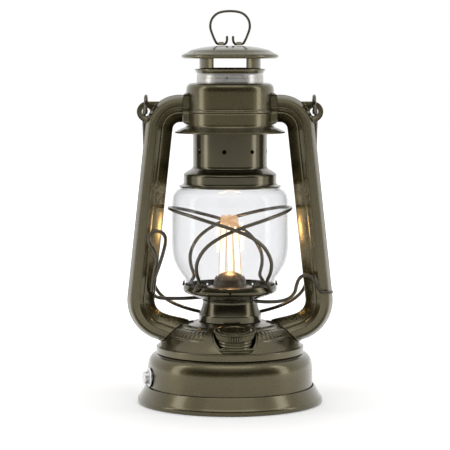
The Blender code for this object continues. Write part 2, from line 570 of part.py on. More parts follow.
def make_handle():
    """The carrying handle: a hook through each lug, two legs and a broad arc, hanging down
    behind. It is drawn as (x, off, out): out runs from the hinge axis to the arc."""
    axis = frame_at("handle_axis", (0, 0, HANDLE_AXIS_Z))
    hook_angles = [math.radians(298 - 298 * k / 11) for k in range(12)]
    hook = [(LUG_X, HANDLE_HOOK_R * math.cos(a), -HANDLE_HOOK_R * math.sin(a))
            for a in hook_angles]
    leg = [(LUG_X + 0.6, HANDLE_HOOK_R, 3.0), (62.7, 5.6, 9.0), (62.4, 3.6, 32.0),
           (60.6, 0.8, 82.0), (58.4, 0.0, 122.0), (57.6, 0.0, 133.0), (55.8, 0.0, 141.0),
           (51.4, 0.0, 147.5), (44.0, 0.0, 153.0), (34.0, 0.0, 157.4), (22.0, 0.0, 160.8),
           (11.0, 0.0, 162.7)]
    half = hook + [Vector(point) for point in leg]
    drawn = half + [(0, 0, HANDLE_REACH)] + [(-x, off, out) for x, off, out in half[::-1]]
    cosine, sine = math.cos(HANDLE_REST), math.sin(HANDLE_REST)
    path = [(x, off * cosine + out * sine, HANDLE_AXIS_Z + off * sine - out * cosine)
            for x, off, out in drawn]
    wire("bail_handle", path, WIRE_R, DARK_WIRE, axis)


def main():
    clear_scene()
    make_base()
    make_tank()
    make_filler()
    make_switch()
    make_electrics()
    make_burner()
    for side, label in ((-1, "left"), (1, "right")):
        make_side_tube(side, label)
    make_hood()
    make_chimney(make_carrier())
    make_lever()
    make_handle()


main()
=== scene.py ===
"""Looks of an electric storm lantern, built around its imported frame."""

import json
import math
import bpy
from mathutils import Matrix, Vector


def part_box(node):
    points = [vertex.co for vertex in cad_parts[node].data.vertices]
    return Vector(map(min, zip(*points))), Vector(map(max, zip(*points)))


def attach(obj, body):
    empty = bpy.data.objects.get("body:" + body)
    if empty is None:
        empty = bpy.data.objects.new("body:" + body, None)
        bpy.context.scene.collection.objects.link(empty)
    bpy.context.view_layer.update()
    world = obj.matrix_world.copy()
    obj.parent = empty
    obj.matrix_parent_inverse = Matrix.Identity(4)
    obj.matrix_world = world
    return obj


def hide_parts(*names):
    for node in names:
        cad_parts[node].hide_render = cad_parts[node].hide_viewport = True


bl_info = {
    "name": "Storm Lantern",
    "version": (1, 0, 0),
    "blender": (4, 5, 0),
    "location": "View3D > Sidebar > Lantern",
    "description": "Builds the pressed metal, wire, glass and light of a storm lantern",
    "category": "Add Mesh",
}

import bmesh
import bpy
import numpy as np
from bpy.props import FloatProperty, FloatVectorProperty, IntProperty, PointerProperty
from mathutils import Matrix, Vector

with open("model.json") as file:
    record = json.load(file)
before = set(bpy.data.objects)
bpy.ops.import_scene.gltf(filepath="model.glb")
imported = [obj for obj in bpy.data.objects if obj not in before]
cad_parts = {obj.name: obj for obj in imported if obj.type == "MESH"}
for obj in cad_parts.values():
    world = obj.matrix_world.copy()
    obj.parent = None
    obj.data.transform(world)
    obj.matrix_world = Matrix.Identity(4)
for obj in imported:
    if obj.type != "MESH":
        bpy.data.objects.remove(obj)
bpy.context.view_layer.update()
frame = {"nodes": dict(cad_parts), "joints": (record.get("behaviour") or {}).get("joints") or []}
MM = 0.001
TAU = 2 * math.pi
SHARP = math.radians(38)
CUTTING_SCALE = 1000.0


# ---------------------------------------------------------------- sizes from the frame

def low(node):
    """Lowest corner of a frame node, in millimetres."""
    return np.array(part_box(node)[0]) / MM


def high(node):
    """Highest corner of a frame node, in millimetres."""
    return np.array(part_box(node)[1]) / MM


FOOT_R = high("base_plate")[0]
DRUM_R = high("tank_drum")[0]
HOLDER_FLANGE_R = high("chimney_tube")[0]
CHIMNEY_LOW = low("chimney_tube")[2]
DRAUGHT_TOP = high("draught_tube")[2]
HOOD_LOW = low("hood")[2]
HOOD_TOP = high("hood")[2]
SKIRT_R = high("hood")[0]
CAP_R = high("top_cap")[0]
CAP_LOW = low("top_cap")[2]
CAP_TOP = high("top_cap")[2]
GLOBE_LOW = low("globe")[2]
GLOBE_TOP = high("globe")[2]
NECK_LOW = low("burner_neck")[2]


def joint(name):
    """The frame's entry for a joint."""
    return next(entry for entry in frame["joints"] if entry["name"] == name)


def joint_place(name):
    """A point on a joint's axis, in millimetres."""
    return np.array(joint(name)["pos_m"]) / MM


FILLER_PLACE = joint_place("cap_turn")
FILLER_AXIS = np.array(joint("cap_turn")["axis"])
HANDLE_AXIS_Z = joint_place("bail_swing")[2]
RING_AXIS_Z = joint_place("ring_swing")[2]
LEVER_PIVOT = joint_place("lever_turn")
BUTTON_OUT = -np.array(joint("button_press")["axis"])
BUTTON_HEIGHT = 20.0


# ---------------------------------------------------------------- settings

class LanternSizes(bpy.types.PropertyGroup):
    """Sizes that a user would change. The lengths are in metres."""
    sheet: FloatProperty(name="Sheet", description="Thickness of the pressed sheet",
                         default=0.0009, min=0.0003, max=0.0012, precision=5, unit="LENGTH")
    wire_radius: FloatProperty(name="Wire radius", description="Radius of the heavy wire",
                               default=0.0013, min=0.0008, max=0.00135, precision=5, unit="LENGTH")
    ring_wire: FloatProperty(name="Ring wire radius", description="Radius of the cap ring's wire",
                             default=0.0009, min=0.0005, max=0.00095, precision=5, unit="LENGTH")
    emboss: FloatProperty(name="Emboss", description="Height of the pressed pattern",
                          default=0.00065, min=0.0, max=0.0008, precision=5, unit="LENGTH")
    round_steps: IntProperty(name="Round steps", description="Steps round each turned piece",
                             default=192, min=48, max=384)
    knurls: IntProperty(name="Knurls", description="Teeth round the filler cap",
                        default=48, min=24, max=96)
    cap_holes: IntProperty(name="Cap holes", description="Vent holes round the top cap",
                           default=9, min=3, max=24)
    plate_holes: IntProperty(name="Plate holes", description="Air holes round the globe plate",
                             default=12, min=4, max=32)


class LanternColours(bpy.types.PropertyGroup):
    """Finishes that a user would change."""
    paint: FloatVectorProperty(name="Paint", description="Metallic paint of the sheet pieces",
                               subtype="COLOR", size=3, default=(0.092, 0.079, 0.036))
    paint_dark: FloatVectorProperty(name="Paint shade", description="Darker patches of the paint",
                                    subtype="COLOR", size=3, default=(0.080, 0.067, 0.030))
    wire: FloatVectorProperty(name="Wire", description="Paint on the wires",
                              subtype="COLOR", size=3, default=(0.075, 0.063, 0.040))
    zinc: FloatVectorProperty(name="Zinc", description="Bright draught tube",
                              subtype="COLOR", size=3, default=(0.48, 0.47, 0.44))
    silver: FloatVectorProperty(name="Silver", description="Push button and bezel",
                                subtype="COLOR", size=3, default=(0.80, 0.80, 0.80))
    glow: FloatVectorProperty(name="Glow", description="Light of the filaments",
                              subtype="COLOR", size=3, default=(1.0, 0.88, 0.66))
    glow_edge: FloatVectorProperty(name="Glow edge", description="Light at the edge of a filament tube",
                                   subtype="COLOR", size=3, default=(1.0, 0.60, 0.30))
    paper: FloatVectorProperty(name="Floor", description="Floor and backdrop",
                               subtype="COLOR", size=3, default=(0.92, 0.92, 0.92))


def in_mm(length):
    """A length in metres, given in the millimetres that the outlines are drawn in."""
    return length / MM


def sizes():
    """The size settings in use."""
    return bpy.context.scene.lantern_sizes


def colours():
    """The finish settings in use."""
    return bpy.context.scene.lantern_colours


# ---------------------------------------------------------------- numpy geometry

def smoothstep(low_edge, high_edge, value):
    """0 below the low edge, 1 above the high one, and an S-shaped rise between them."""
    t = np.clip((value - low_edge) / (high_edge - low_edge), 0.0, 1.0)
    return t * t * (3 - 2 * t)


def curve_through(points, per_span=12):
    """Catmull-Rom curve: on each span between two points, the cubic whose slope at either end
    is half the step between that end's two neighbours."""
    p = np.asarray(points, float)
    padded = np.vstack([p[:1], p, p[-1:]])
    a, b, c, d = (padded[k:len(p) - 1 + k, None, :] for k in range(4))
    t = np.linspace(0, 1, per_span, endpoint=False)[None, :, None]
    curve = 0.5 * (2 * b + (c - a) * t + (2 * a - 5 * b + 4 * c - d) * t ** 2
                   + (3 * b - a - 3 * c + d) * t ** 3)
    return np.vstack([curve.reshape(-1, p.shape[1]), p[-1:]])


def rounded(points, radius=1.0, steps=5):
    """An outline whose corners are bent: each corner is replaced by the parabola that leaves
    one side and joins the next at the given distance, or at 45% of a short side."""
    p = np.asarray([point[:2] for point in points], float)
    radii = np.asarray([point[2] if len(point) > 2 else radius for point in points[1:-1]], float)
    back, on = p[:-2] - p[1:-1], p[2:] - p[1:-1]
    back_size, on_size = np.linalg.norm(back, axis=1), np.linalg.norm(on, axis=1)
    reach_back = np.minimum(radii, 0.45 * back_size) / back_size
    reach_on = np.minimum(radii, 0.45 * on_size) / on_size
    start = p[1:-1] + back * reach_back[:, None]
    end = p[1:-1] + on * reach_on[:, None]
    t = np.linspace(0, 1, steps)[None, :, None]
    bends = ((1 - t) ** 2 * start[:, None] + 2 * t * (1 - t) * p[1:-1, None]
             + t ** 2 * end[:, None])
    return np.vstack([p[:1], bends.reshape(-1, 2), p[-1:]])


def refined(outline, longest=2.0):
    """The same outline with points added so that no stretch is longer than a length."""
    outline = np.asarray(outline, float)
    run = np.concatenate([[0], np.cumsum(np.linalg.norm(np.diff(outline, axis=0), axis=1))])
    extra = np.arange(0, run[-1], longest)
    stops = np.unique(np.round(np.concatenate([run, extra]), 4))
    return np.column_stack([np.interp(stops, run, outline[:, k]) for k in range(outline.shape[1])])


def offset(outline, thick):
    """The outline moved square to its own direction, towards its left-hand side."""
    along = np.gradient(outline, axis=0)
    along /= np.maximum(np.linalg.norm(along, axis=1, keepdims=True), 1e-9)
    return outline + thick * np.column_stack([-along[:, 1], along[:, 0]])


def sheet_section(outline, thick, hem=3):
    """The closed section of a sheet: its outer side runs up along the outline, its inner side
    is the offset one, and a flattened half circle joins them at each free end."""
    inner = offset(outline, thick)
    if outline[-1, 0] < 1e-6:
        inner[-1, 0] = 0.0
    angles = np.linspace(0, math.pi, hem + 2)[1:-1]

    def edge(start, end):
        middle, arm = (start + end) / 2, (start - end) / 2
        square = 0.4 * np.array([-arm[1], arm[0]])
        return middle + np.cos(angles)[:, None] * arm + np.sin(angles)[:, None] * square

    foot = edge(inner[0], outline[0])
    if outline[-1, 0] < 1e-6:
        return np.vstack([inner[::-1], foot, outline])
    return np.vstack([outline, edge(outline[-1], inner[-1]), inner[::-1], foot])


def turn_round(section, steps):
    """The points of a turned surface: radius and height of the section's point, carried round
    the axis. Rows follow the section and columns the angle."""
    angle = np.linspace(0, TAU, steps, endpoint=False)
    r, z = section[:, 0][:, None], section[:, 1][:, None]
    level = np.broadcast_to(z, (len(section), steps))
    return np.stack([r * np.cos(angle), r * np.sin(angle), level], axis=2)


def grid_mesh(name, grid, wrap_rows=False, wrap_columns=True):
    """A mesh from a grid of points in millimetres. Rows or columns that wrap are joined end to
    end, rows of equal points close into a pole, and the faces are turned outwards."""
    rows, columns = grid.shape[:2]
    number = np.arange(rows * columns).reshape(rows, columns)
    nxt_row = np.roll(number, -1, axis=0)
    nxt_both = np.roll(nxt_row, -1, axis=1)
    quads = np.stack([number, np.roll(number, -1, axis=1), nxt_both, nxt_row], axis=2)
    quads = quads[:rows if wrap_rows else rows - 1, :columns if wrap_columns else columns - 1]
    quads = quads.reshape(-1, 4)
    mesh = bpy.data.meshes.new(name)
    mesh.vertices.add(rows * columns)
    mesh.vertices.foreach_set("co", (grid * MM).astype(np.float32).ravel())
    mesh.loops.add(quads.size)
    mesh.loops.foreach_set("vertex_index", quads.ravel().astype(np.int32))
    mesh.polygons.add(len(quads))
    mesh.polygons.foreach_set("loop_start", np.arange(0, quads.size, 4, dtype=np.int32))
    mesh.update(calc_edges=True)
    bm = bmesh.new()
    bm.from_mesh(mesh)
    bmesh.ops.remove_doubles(bm, verts=bm.verts, dist=0.000002)
    bmesh.ops.recalc_face_normals(bm, faces=bm.faces)
    if bm.calc_volume(signed=True) < 0:
        bmesh.ops.reverse_faces(bm, faces=bm.faces)
    bm.to_mesh(mesh)
    bm.free()
    mesh.shade_smooth()
    mesh.set_sharp_from_angle(angle=SHARP)
    return mesh


def placed(grid, place, axis):
    """The grid's own Z axis is laid along an axis through a place; its X stays level."""
    z = np.asarray(axis, float) / np.linalg.norm(axis)
    x = np.cross([0.0, 1.0, 0.0] if abs(z[1]) < 0.9 else [0.0, 0.0, 1.0], z)
    x /= np.linalg.norm(x)
    return grid @ np.stack([x, np.cross(z, x), z]) + np.asarray(place, float)


def wire_grid(path, radius, across, sides=14):
    """Round wire: a circle is carried along the path. At each point it is drawn on the
    direction that comes nearest to the across vector while square to the path, and on the one
    square to both. The ends are rounded by drawing in the last circles."""
    path = np.asarray(path, float)
    along = np.gradient(path, axis=0)
    along /= np.linalg.norm(along, axis=1, keepdims=True)
    across = np.broadcast_to(np.asarray(across, float), path.shape)
    first = across - (across * along).sum(1, keepdims=True) * along
    first /= np.linalg.norm(first, axis=1, keepdims=True)
    second = np.cross(along, first)
    angle = np.linspace(0, TAU, sides, endpoint=False)[None, :, None]
    circle = np.cos(angle) * first[:, None] + np.sin(angle) * second[:, None]
    body = path[:, None] + radius * circle
    swing = np.linspace(0, math.pi / 2, 5)[:-1]

    def tip(index, sign):
        size, out = np.sin(swing)[:, None, None], np.cos(swing)[:, None, None]
        return (path[index] + sign * out * radius * along[index]
                + size * (body[index] - path[index])[None])

    return np.vstack([tip(0, -1), body, tip(-1, 1)[::-1]])


def merged(name, meshes):
    """One mesh from several, whose points keep their places."""
    bm = bmesh.new()
    for mesh in meshes:
        bm.from_mesh(mesh)
    result = bpy.data.meshes.new(name)
    bm.to_mesh(result)
    bm.free()
    result.shade_smooth()
    result.set_sharp_from_angle(angle=SHARP)
    return result


# ---------------------------------------------------------------- objects

def piece(name, mesh, body, material, stands_for=()):
    """Links a finished mesh, gives it its finish and lets it ride on a body of the frame."""
    made = bpy.data.objects.new(name, mesh)
    bpy.context.scene.collection.objects.link(made)
    mesh.materials.clear()
    mesh.materials.append(material)
    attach(made, body)
    if stands_for:
        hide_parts(*stands_for)
    return made


def olive(name, mesh, node, body="lantern_body", finish=None):
    """Links a piece of olive sheet that stands for one node, in the satin paint or another."""
    return piece(name, mesh, body, finish or paint(), [node])


def olive_wire(name, mesh, node, body="globe_carrier"):
    """Links a painted wire that stands for one node."""
    return piece(name, mesh, body, wire_paint(), [node])


def lathe(section, steps=None):
    """A turned mesh from a section: open if both ends are on the axis, else a ring."""
    on_axis = section[0, 0] < 1e-6 and section[-1, 0] < 1e-6
    grid = turn_round(section, steps or sizes().round_steps)
    return grid_mesh("turned", grid, wrap_rows=not on_axis)


def cut_away(mesh, tools):
    """The mesh less the tools, by a Boolean that is applied at once. It is worked out
    at a thousand times the size, where close points stay apart."""
    whole = bpy.data.objects.new("whole", mesh)
    tool = bpy.data.objects.new("tool", merged("tool", tools))
    for thing in (whole, tool):
        thing.data.transform(Matrix.Scale(CUTTING_SCALE, 4))
        bpy.context.scene.collection.objects.link(thing)
    change = whole.modifiers.new("cut", "BOOLEAN")
    change.operation = "DIFFERENCE"
    change.solver = "MANIFOLD"
    change.object = tool
    graph = bpy.context.evaluated_depsgraph_get()
    result = bpy.data.meshes.new_from_object(whole.evaluated_get(graph))
    for thing in (whole, tool):
        bpy.data.objects.remove(thing)
    result.transform(Matrix.Scale(1 / CUTTING_SCALE, 4))
    result.shade_smooth()
    result.set_sharp_from_angle(angle=SHARP)
    return result


def drills(count, radius, middle_r, z, first_angle=0.0, half_length=6.0, rise=0.0):
    """Round cutters that point outwards from the axis, evenly spaced, for rows of holes."""
    rod = np.array([[0, -half_length], [radius, -half_length],
                    [radius, half_length], [0, half_length]])
    tools = []
    for k in range(count):
        angle = math.radians(first_angle) + TAU * k / count
        out = np.array([math.cos(angle), math.sin(angle), rise])
        place = out * [middle_r, middle_r, 0] + [0, 0, z]
        tools.append(grid_mesh("drill", placed(turn_round(rod, 20), place, out)))
    return tools


# ---------------------------------------------------------------- materials

class Shade:
    """A socket in a material's node tree. Arithmetic on it adds Math nodes."""

    def __init__(self, tree, socket=None):
        self.tree, self.socket = tree, socket

    def node(self, kind, settings=(), inputs=(), output=0):
        """Adds any node: its settings are set first, then its inputs, as values or links."""
        made = self.tree.nodes.new("ShaderNode" + kind)
        for key, value in dict(settings).items():
            setattr(made, key, value)
        for key, value in dict(inputs).items():
            if isinstance(value, Shade):
                self.tree.links.new(value.socket, made.inputs[key])
            else:
                made.inputs[key].default_value = value
        return Shade(self.tree, made.outputs[output] if made.outputs else None)

    def math(self, operation, *values):
        """A Math node on these values or links."""
        return self.node("Math", {"operation": operation}, enumerate(values))

    def __add__(self, other):
        return self.math("ADD", self, other)

    def __mul__(self, other):
        return self.math("MULTIPLY", self, other)

    def __sub__(self, other):
        return self.math("SUBTRACT", self, other)

    def __rsub__(self, other):
        return self.math("SUBTRACT", other, self)

    def __truediv__(self, other):
        return self.math("DIVIDE", self, other)

    def __pow__(self, other):
        return self.math("POWER", self, other)

    __radd__ = __add__
    __rmul__ = __mul__

    def between(self, first, last, start=0.0, end=1.0):
        """The value carried from one range to another, and held at its ends."""
        return self.node("MapRange", {"interpolation_type": "SMOOTHSTEP"},
                         {0: self, 1: first, 2: last, 3: start, 4: end})

    def blend(self, first, second):
        """The colour between two, by this factor."""
        return self.node("Mix", {"data_type": "RGBA"}, {0: self, 6: first, 7: second}, 2)

    def noise(self, place, scale, detail=3.0, roughness=0.55):
        """Cloudy noise, from 0 to 1."""
        return self.node("TexNoise", (), {"Vector": place, "Scale": scale, "Detail": detail,
                                          "Roughness": roughness})

    def place(self):
        """Object coordinates, in metres."""
        return self.node("TexCoord", (), (), "Object")

    def part(self, place, axis):
        """One number of a vector."""
        return self.node("SeparateXYZ", (), {0: place}, axis)


def material(name):
    """A new material with an empty tree, and a Shade that adds to it."""
    made = bpy.data.materials.new(name)
    made.use_nodes = True
    made.node_tree.nodes.clear()
    return made, Shade(made.node_tree)


def finished(made, surface):
    """The material, with its surface joined to the output."""
    surface.node("OutputMaterial", (), {"Surface": surface})
    return made


def rgba(colour, factor=1.0):
    """A colour times a factor, held at white, with full alpha."""
    return (*(min(1.0, c * factor) for c in colour), 1.0)


def painted(name, colour, dark, metallic=0.88, rough=(0.25, 0.32), peel=0.10):
    """Metallic lacquer: fine flakes that differ in shade and shine, over slow cloudy patches,
    with a little orange peel, and rougher scuffs drawn out up and down."""
    made, s = material(name)
    place = s.place()
    cloud = s.noise(place, 38.0, 4.0)
    flakes = s.node("TexVoronoi", {"feature": "F1"}, {"Vector": place, "Scale": 2600.0}, "Color")
    flake = s.part(flakes, "X")
    grain = s.noise(place, 900.0, 2.0)
    base = cloud.between(0.35, 0.68).blend(rgba(dark), rgba(colour))
    base = (flake * 0.5 + grain * 0.3).between(0.1, 0.75).blend(
        base, s.node("Mix", {"data_type": "RGBA", "blend_type": "MULTIPLY"},
                     {0: 1.0, 6: base, 7: (1.14, 1.13, 1.10, 1.0)}, 2))
    scuff = s.noise(s.node("Mapping", (), {"Vector": place, "Scale": (1.0, 1.0, 0.12)}), 420.0, 5.0,
                    0.7)
    roughness = (cloud * (rough[1] - rough[0]) + rough[0]
                 + scuff.between(0.60, 0.78) * 0.06 + (flake - 0.5) * 0.04)
    height = s.noise(place, 330.0, 1.0) * peel + flake * 0.006
    bump = s.node("Bump", (), {"Strength": 0.10, "Distance": 0.0003, "Height": height})
    surface = s.node("BsdfPrincipled", (), {"Base Color": base, "Metallic": metallic,
                                            "Roughness": roughness, "Normal": bump,
                                            "Coat Weight": 0.65, "Coat Roughness": 0.14})
    return finished(made, surface)


def zinc(name):
    """Galvanised sheet: spangles of different brightness, drawn out along the tube."""
    made, s = material(name)
    place = s.place()
    cell = s.node("TexVoronoi", {"feature": "F1"},
                  {"Vector": s.node("Mapping", (), {"Vector": place, "Scale": (1.0, 1.0, 0.5)}),
                   "Scale": 260.0}, "Color")
    spangle = s.part(cell, "X")
    streak = s.noise(s.node("Mapping", (), {"Vector": place, "Scale": (1.0, 1.0, 0.03)}), 900.0, 3.0)
    base = spangle.blend(rgba(colours().zinc, 0.86), rgba(colours().zinc, 1.1))
    roughness = spangle * 0.10 + streak * 0.12 + 0.22
    bump = s.node("Bump", (), {"Strength": 0.12, "Distance": 0.0002, "Height": spangle + streak})
    return finished(made, s.node("BsdfPrincipled", (), {
        "Base Color": base, "Metallic": 1.0, "Roughness": roughness, "Normal": bump}))


def metal(name, colour, roughness, streaks=(1.0, 1.0, 1.0)):
    """Bright metal with fine scratches and faint blotches."""
    made, s = material(name)
    place = s.place()
    scratch = s.noise(s.node("Mapping", (), {"Vector": place, "Scale": streaks}), 1400.0, 3.0)
    blotch = s.noise(place, 90.0, 3.0)
    base = blotch.between(0.3, 0.7).blend(rgba(colour, 0.88), rgba(colour, 1.06))
    bump = s.node("Bump", (), {"Strength": 0.10, "Distance": 0.0002, "Height": scratch})
    return finished(made, s.node("BsdfPrincipled", (), {
        "Base Color": base, "Metallic": 1.0, "Normal": bump,
        "Roughness": scratch * 0.14 + blotch * 0.08 + roughness}))


def dull(name, colour, roughness, grain=700.0, strength=0.25):
    """Moulded plastic, rubber, board or film: fine grain, and patches a little worn."""
    made, s = material(name)
    place = s.place()
    fine, wide = s.noise(place, grain, 3.0), s.noise(place, 70.0, 4.0)
    base = wide.between(0.3, 0.7).blend(rgba(colour, 0.80), rgba(colour, 1.25))
    bump = s.node("Bump", (), {"Strength": strength, "Distance": 0.0003, "Height": fine})
    return finished(made, s.node("BsdfPrincipled", (), {
        "Base Color": base, "Normal": bump, "Roughness": fine * 0.16 + roughness - 0.08}))


def glass(name, tint=(0.935, 0.936, 0.940, 1.0)):
    """Thin clear glass: see-through, with a shine that grows towards the edge of the form,
    faint smears in the shine, and a slow ripple from blowing."""
    made, s = material(name)
    place = s.place()
    smear = s.noise(s.node("Mapping", (), {"Vector": place, "Scale": (1.0, 1.0, 0.4)}), 60.0, 4.0)
    ripple = s.noise(place, 45.0, 2.0)
    bump = s.node("Bump", (), {"Strength": 0.10, "Distance": 0.001, "Height": ripple})
    facing = s.node("LayerWeight", (), {"Blend": 0.5}, "Facing")
    shine = facing ** 6.0 * 0.9 + facing ** 2.0 * 0.06 + smear.between(0.45, 0.8) * 0.02 + 0.03
    clear = s.node("BsdfTransparent", (), {"Color": tint})
    gloss = s.node("BsdfPrincipled", (), {
        "Base Color": (0.36, 0.37, 0.37, 1.0), "Metallic": 0.9, "Normal": bump,
        "Roughness": smear * 0.10 + 0.02})
    return finished(made, s.node("MixShader", (), {0: shine, 1: clear, 2: gloss}))


def glowing(name, colour, strength, cover=1.0):
    """A lit body: warm light, a little uneven along it. Below full cover it lets the rest of
    the scene show through."""
    made, s = material(name)
    uneven = s.noise(s.place(), 420.0, 2.0)
    tint = uneven.between(0.3, 0.7).blend(rgba(colour, 0.86), rgba(colour, 1.0))
    light = s.node("Emission", (), {"Color": tint, "Strength": strength})
    if cover >= 1.0:
        return finished(made, light)
    clear = s.node("BsdfTransparent", (), {"Color": (1.0, 0.96, 0.9, 1.0)})
    return finished(made, s.node("MixShader", (), {0: cover, 1: clear, 2: light}))


def paper(name, colour):
    """Matt studio paper with a faint tooth. Light of its own keeps it white, all of it far off
    and a part of it near the lantern, where the shadow shows."""
    made, s = material(name)
    place = s.place()
    tooth = s.noise(place, 600.0, 2.0)
    away = s.node("VectorMath", {"operation": "LENGTH"}, {0: place}, 1)
    base = tooth.between(0.3, 0.7).blend(rgba(colour, 0.98), rgba(colour, 1.0))
    own = away.between(0.10, 0.45).blend((0.16, 0.16, 0.16, 1.0), (0.48, 0.48, 0.48, 1.0))
    bump = s.node("Bump", (), {"Strength": 0.04, "Distance": 0.0002, "Height": tooth})
    return finished(made, s.node("BsdfPrincipled", (), {
        "Base Color": base, "Roughness": tooth * 0.1 + 0.6, "Normal": bump,
        "Specular IOR Level": 0.2, "Emission Color": own, "Emission Strength": 1.0}))


def shared(name, maker, *args, **options):
    """The named material, made the first time that it is asked for."""
    return bpy.data.materials.get(name) or maker(name, *args, **options)


def paint():
    return shared("olive_lacquer", painted, colours().paint, colours().paint_dark)


def shaded_gloss_paint():
    """The same lacquer, shinier, with its colours darkened to about seven tenths as painted shade, as
    on the burner and the chimney.
    """
    # Painted shade: the 0.72 and 0.70 factors darken the paint colours; the lower roughness and higher
    # metallic are the real shinier coat.
    return shared("olive_gloss", painted, tuple(c * 0.72 for c in colours().paint),
                  tuple(c * 0.70 for c in colours().paint_dark), metallic=0.92, rough=(0.20, 0.27),
                  peel=0.04)


def wire_paint():
    return shared("wire_lacquer", painted, colours().wire, tuple(c * 0.72 for c in colours().wire),
                  rough=(0.24, 0.36), peel=0.05)


# ---------------------------------------------------------------- base and tank

class LANTERN_OT_base(bpy.types.Operator):
    """Pressed base with its crimped foot, and the four screws under it"""
    bl_idname = "lantern.base"
    bl_label = "Base"

    def execute(self, context):
        """The base is turned from a bent outline. Its foot rolls under and its flare hugs the
        drum. The screw holes are bored, and each screw has a cross slot."""
        foot = FOOT_R
        outline = rounded([(0, 3.0), (58.5, 3.0, 1.5), (60.5, 0.0, 0.9), (66.8, 0.0, 0.8),
                           (foot, 0.9, 0.7), (foot, 3.4, 0.9), (66.7, 4.5, 0.7), (65.4, 6.6, 1.6),
                           (63.8, 9.2, 2.0), (61.9, 12.3, 0.25), (61.0, 12.3, 0.25),
                           (62.9, 8.4, 1.6), (64.2, 5.2, 0.6), (60.0, 4.2, 1.2), (0, 4.2)], steps=6)
        mesh = lathe(refined(outline, 3.0))
        places = [(x, y) for x in (-25.3, 25.3) for y in (-30.0, 30.0)]
        bore = np.array([[0, 2.0], [1.6, 2.0], [1.6, 6.0], [0, 6.0]])
        mesh = cut_away(mesh, [grid_mesh("bore", turn_round(bore, 24) + [x, y, 0]) for x, y in places])
        olive("Base", mesh, "base_plate")
        head = rounded([(0, 1.25), (2.3, 1.25, 0.3), (2.8, 1.8, 0.3), (2.8, 2.7, 0.2), (1.2, 2.75, 0.1),
                        (1.2, 11.0, 0.3), (0, 11.0)], steps=5)
        steel = shared("screw_steel", metal, (0.55, 0.55, 0.56), 0.25)
        for number, (x, y) in enumerate(places, start=1):
            whole = grid_mesh("screw", turn_round(head, 40) + [x, y, 0])
            slots = [bar((x - 1.7, y - 0.25, 0.5), (x + 1.7, y + 0.25, 1.9)),
                     bar((x - 0.25, y - 1.7, 0.5), (x + 0.25, y + 1.7, 1.9))]
            piece(f"Screw_{number}", cut_away(whole, slots), "lantern_body", steel,
                  [f"base_screw_{number}"])
        return {"FINISHED"}


def bar(start, end):
    """A plain box between two corners, in millimetres."""
    bm = bmesh.new()
    bmesh.ops.create_cube(bm, size=1.0)
    start, end = np.array(start, float), np.array(end, float)
    corners = np.array([v.co for v in bm.verts]) * (end - start) + (start + end) / 2
    mesh = bpy.data.meshes.new("bar")
    bm.to_mesh(mesh)
    bm.free()
    mesh.vertices.foreach_set("co", (corners * MM).astype(np.float32).ravel())
    return mesh


def facing_out(grid):
    """A grid made along Z, laid outwards from the axis on the button's own line."""
    return placed(grid, (0, 0, BUTTON_HEIGHT), BUTTON_OUT)


class LANTERN_OT_drum(bpy.types.Operator):
    """Round drum with its rounded shoulder"""
    bl_idname = "lantern.drum"
    bl_label = "Drum"

    def execute(self, context):
        """The drum is turned. Its wall bows by a tenth of a millimetre between a few slow
        waves, as rolled sheet does, and the button's hole is bored through it."""
        outline = rounded([(DRUM_R, 4.6), (DRUM_R, 25.7, 3.5), (59.85, 29.6, 3.0), (58.5, 33.0, 2.6),
                           (56.3, 35.3, 1.8), (53.4, 36.3, 0.8), (52.2, 36.8, 0.5), (52.2, 40.9)],
                          steps=8)
        section = sheet_section(refined(outline, 1.5), in_mm(sizes().sheet))
        steps = sizes().round_steps * 2
        grid = turn_round(section, steps)
        angle = np.linspace(0, TAU, steps, endpoint=False)
        wave = 0.05 * (np.sin(3 * angle + 0.7) + 0.6 * np.sin(7 * angle + 2.1)) - 0.08
        middle = np.clip((section[:, 1] - 6) / 8, 0, 1) * np.clip((33 - section[:, 1]) / 8, 0, 1)
        grid[..., :2] *= 1 + (wave[None] * middle[:, None] / DRUM_R)[..., None]
        hole = np.array([[0, 50.0], [5.4, 50.0], [5.4, 70.0], [0, 70.0]])
        mesh = cut_away(grid_mesh("drum", grid, wrap_rows=True),
                        [grid_mesh("hole", facing_out(turn_round(hole, 64)))])
        olive("Drum", mesh, "tank_drum")
        return {"FINISHED"}


DOME_SLOPE = rounded([(53.9, 36.9), (53.9, 41.35, 0.5), (52.7, 41.95, 0.7), (51.3, 43.4, 1.2),
                      (46.5, 48.8, 5.5), (40.6, 54.0, 5.0), (34.8, 57.0, 4.5), (26.9, 58.7, 3.0),
                      (23.2, 59.3, 2.0), (18.0, 59.4)], steps=9)


def dome_height(x, y):
    """Height of the dome's skin over a point: its outline read at the point's radius."""
    slope = DOME_SLOPE[DOME_SLOPE[:, 1] > 41.9][::-1]
    return np.interp(np.hypot(x, y), slope[:, 0], slope[:, 1])


def pressed_pattern(angle, radius):
    """A border of raised beads between two fine ridges, on two arcs of the dome's front. The
    beads are a squared cosine along the arc, under a bell across it."""
    turn = np.degrees(np.mod(angle, TAU))
    side = np.maximum(smoothstep(186, 189, turn) * (1 - smoothstep(243, 246, turn)),
                      smoothstep(298, 301, turn) * (1 - smoothstep(351, 354, turn)))
    bead = np.cos(np.radians(turn) * 36) ** 2 * np.exp(-((radius - 41.4) / 2.3) ** 4)
    small = np.cos(np.radians(turn) * 54) ** 2 * np.exp(-((radius - 34.0) / 1.5) ** 4)
    ridge = sum(np.exp(-((radius - r) / 0.55) ** 2) for r in (37.2, 45.4))
    return side * (bead + 0.8 * small + 0.55 * ridge)


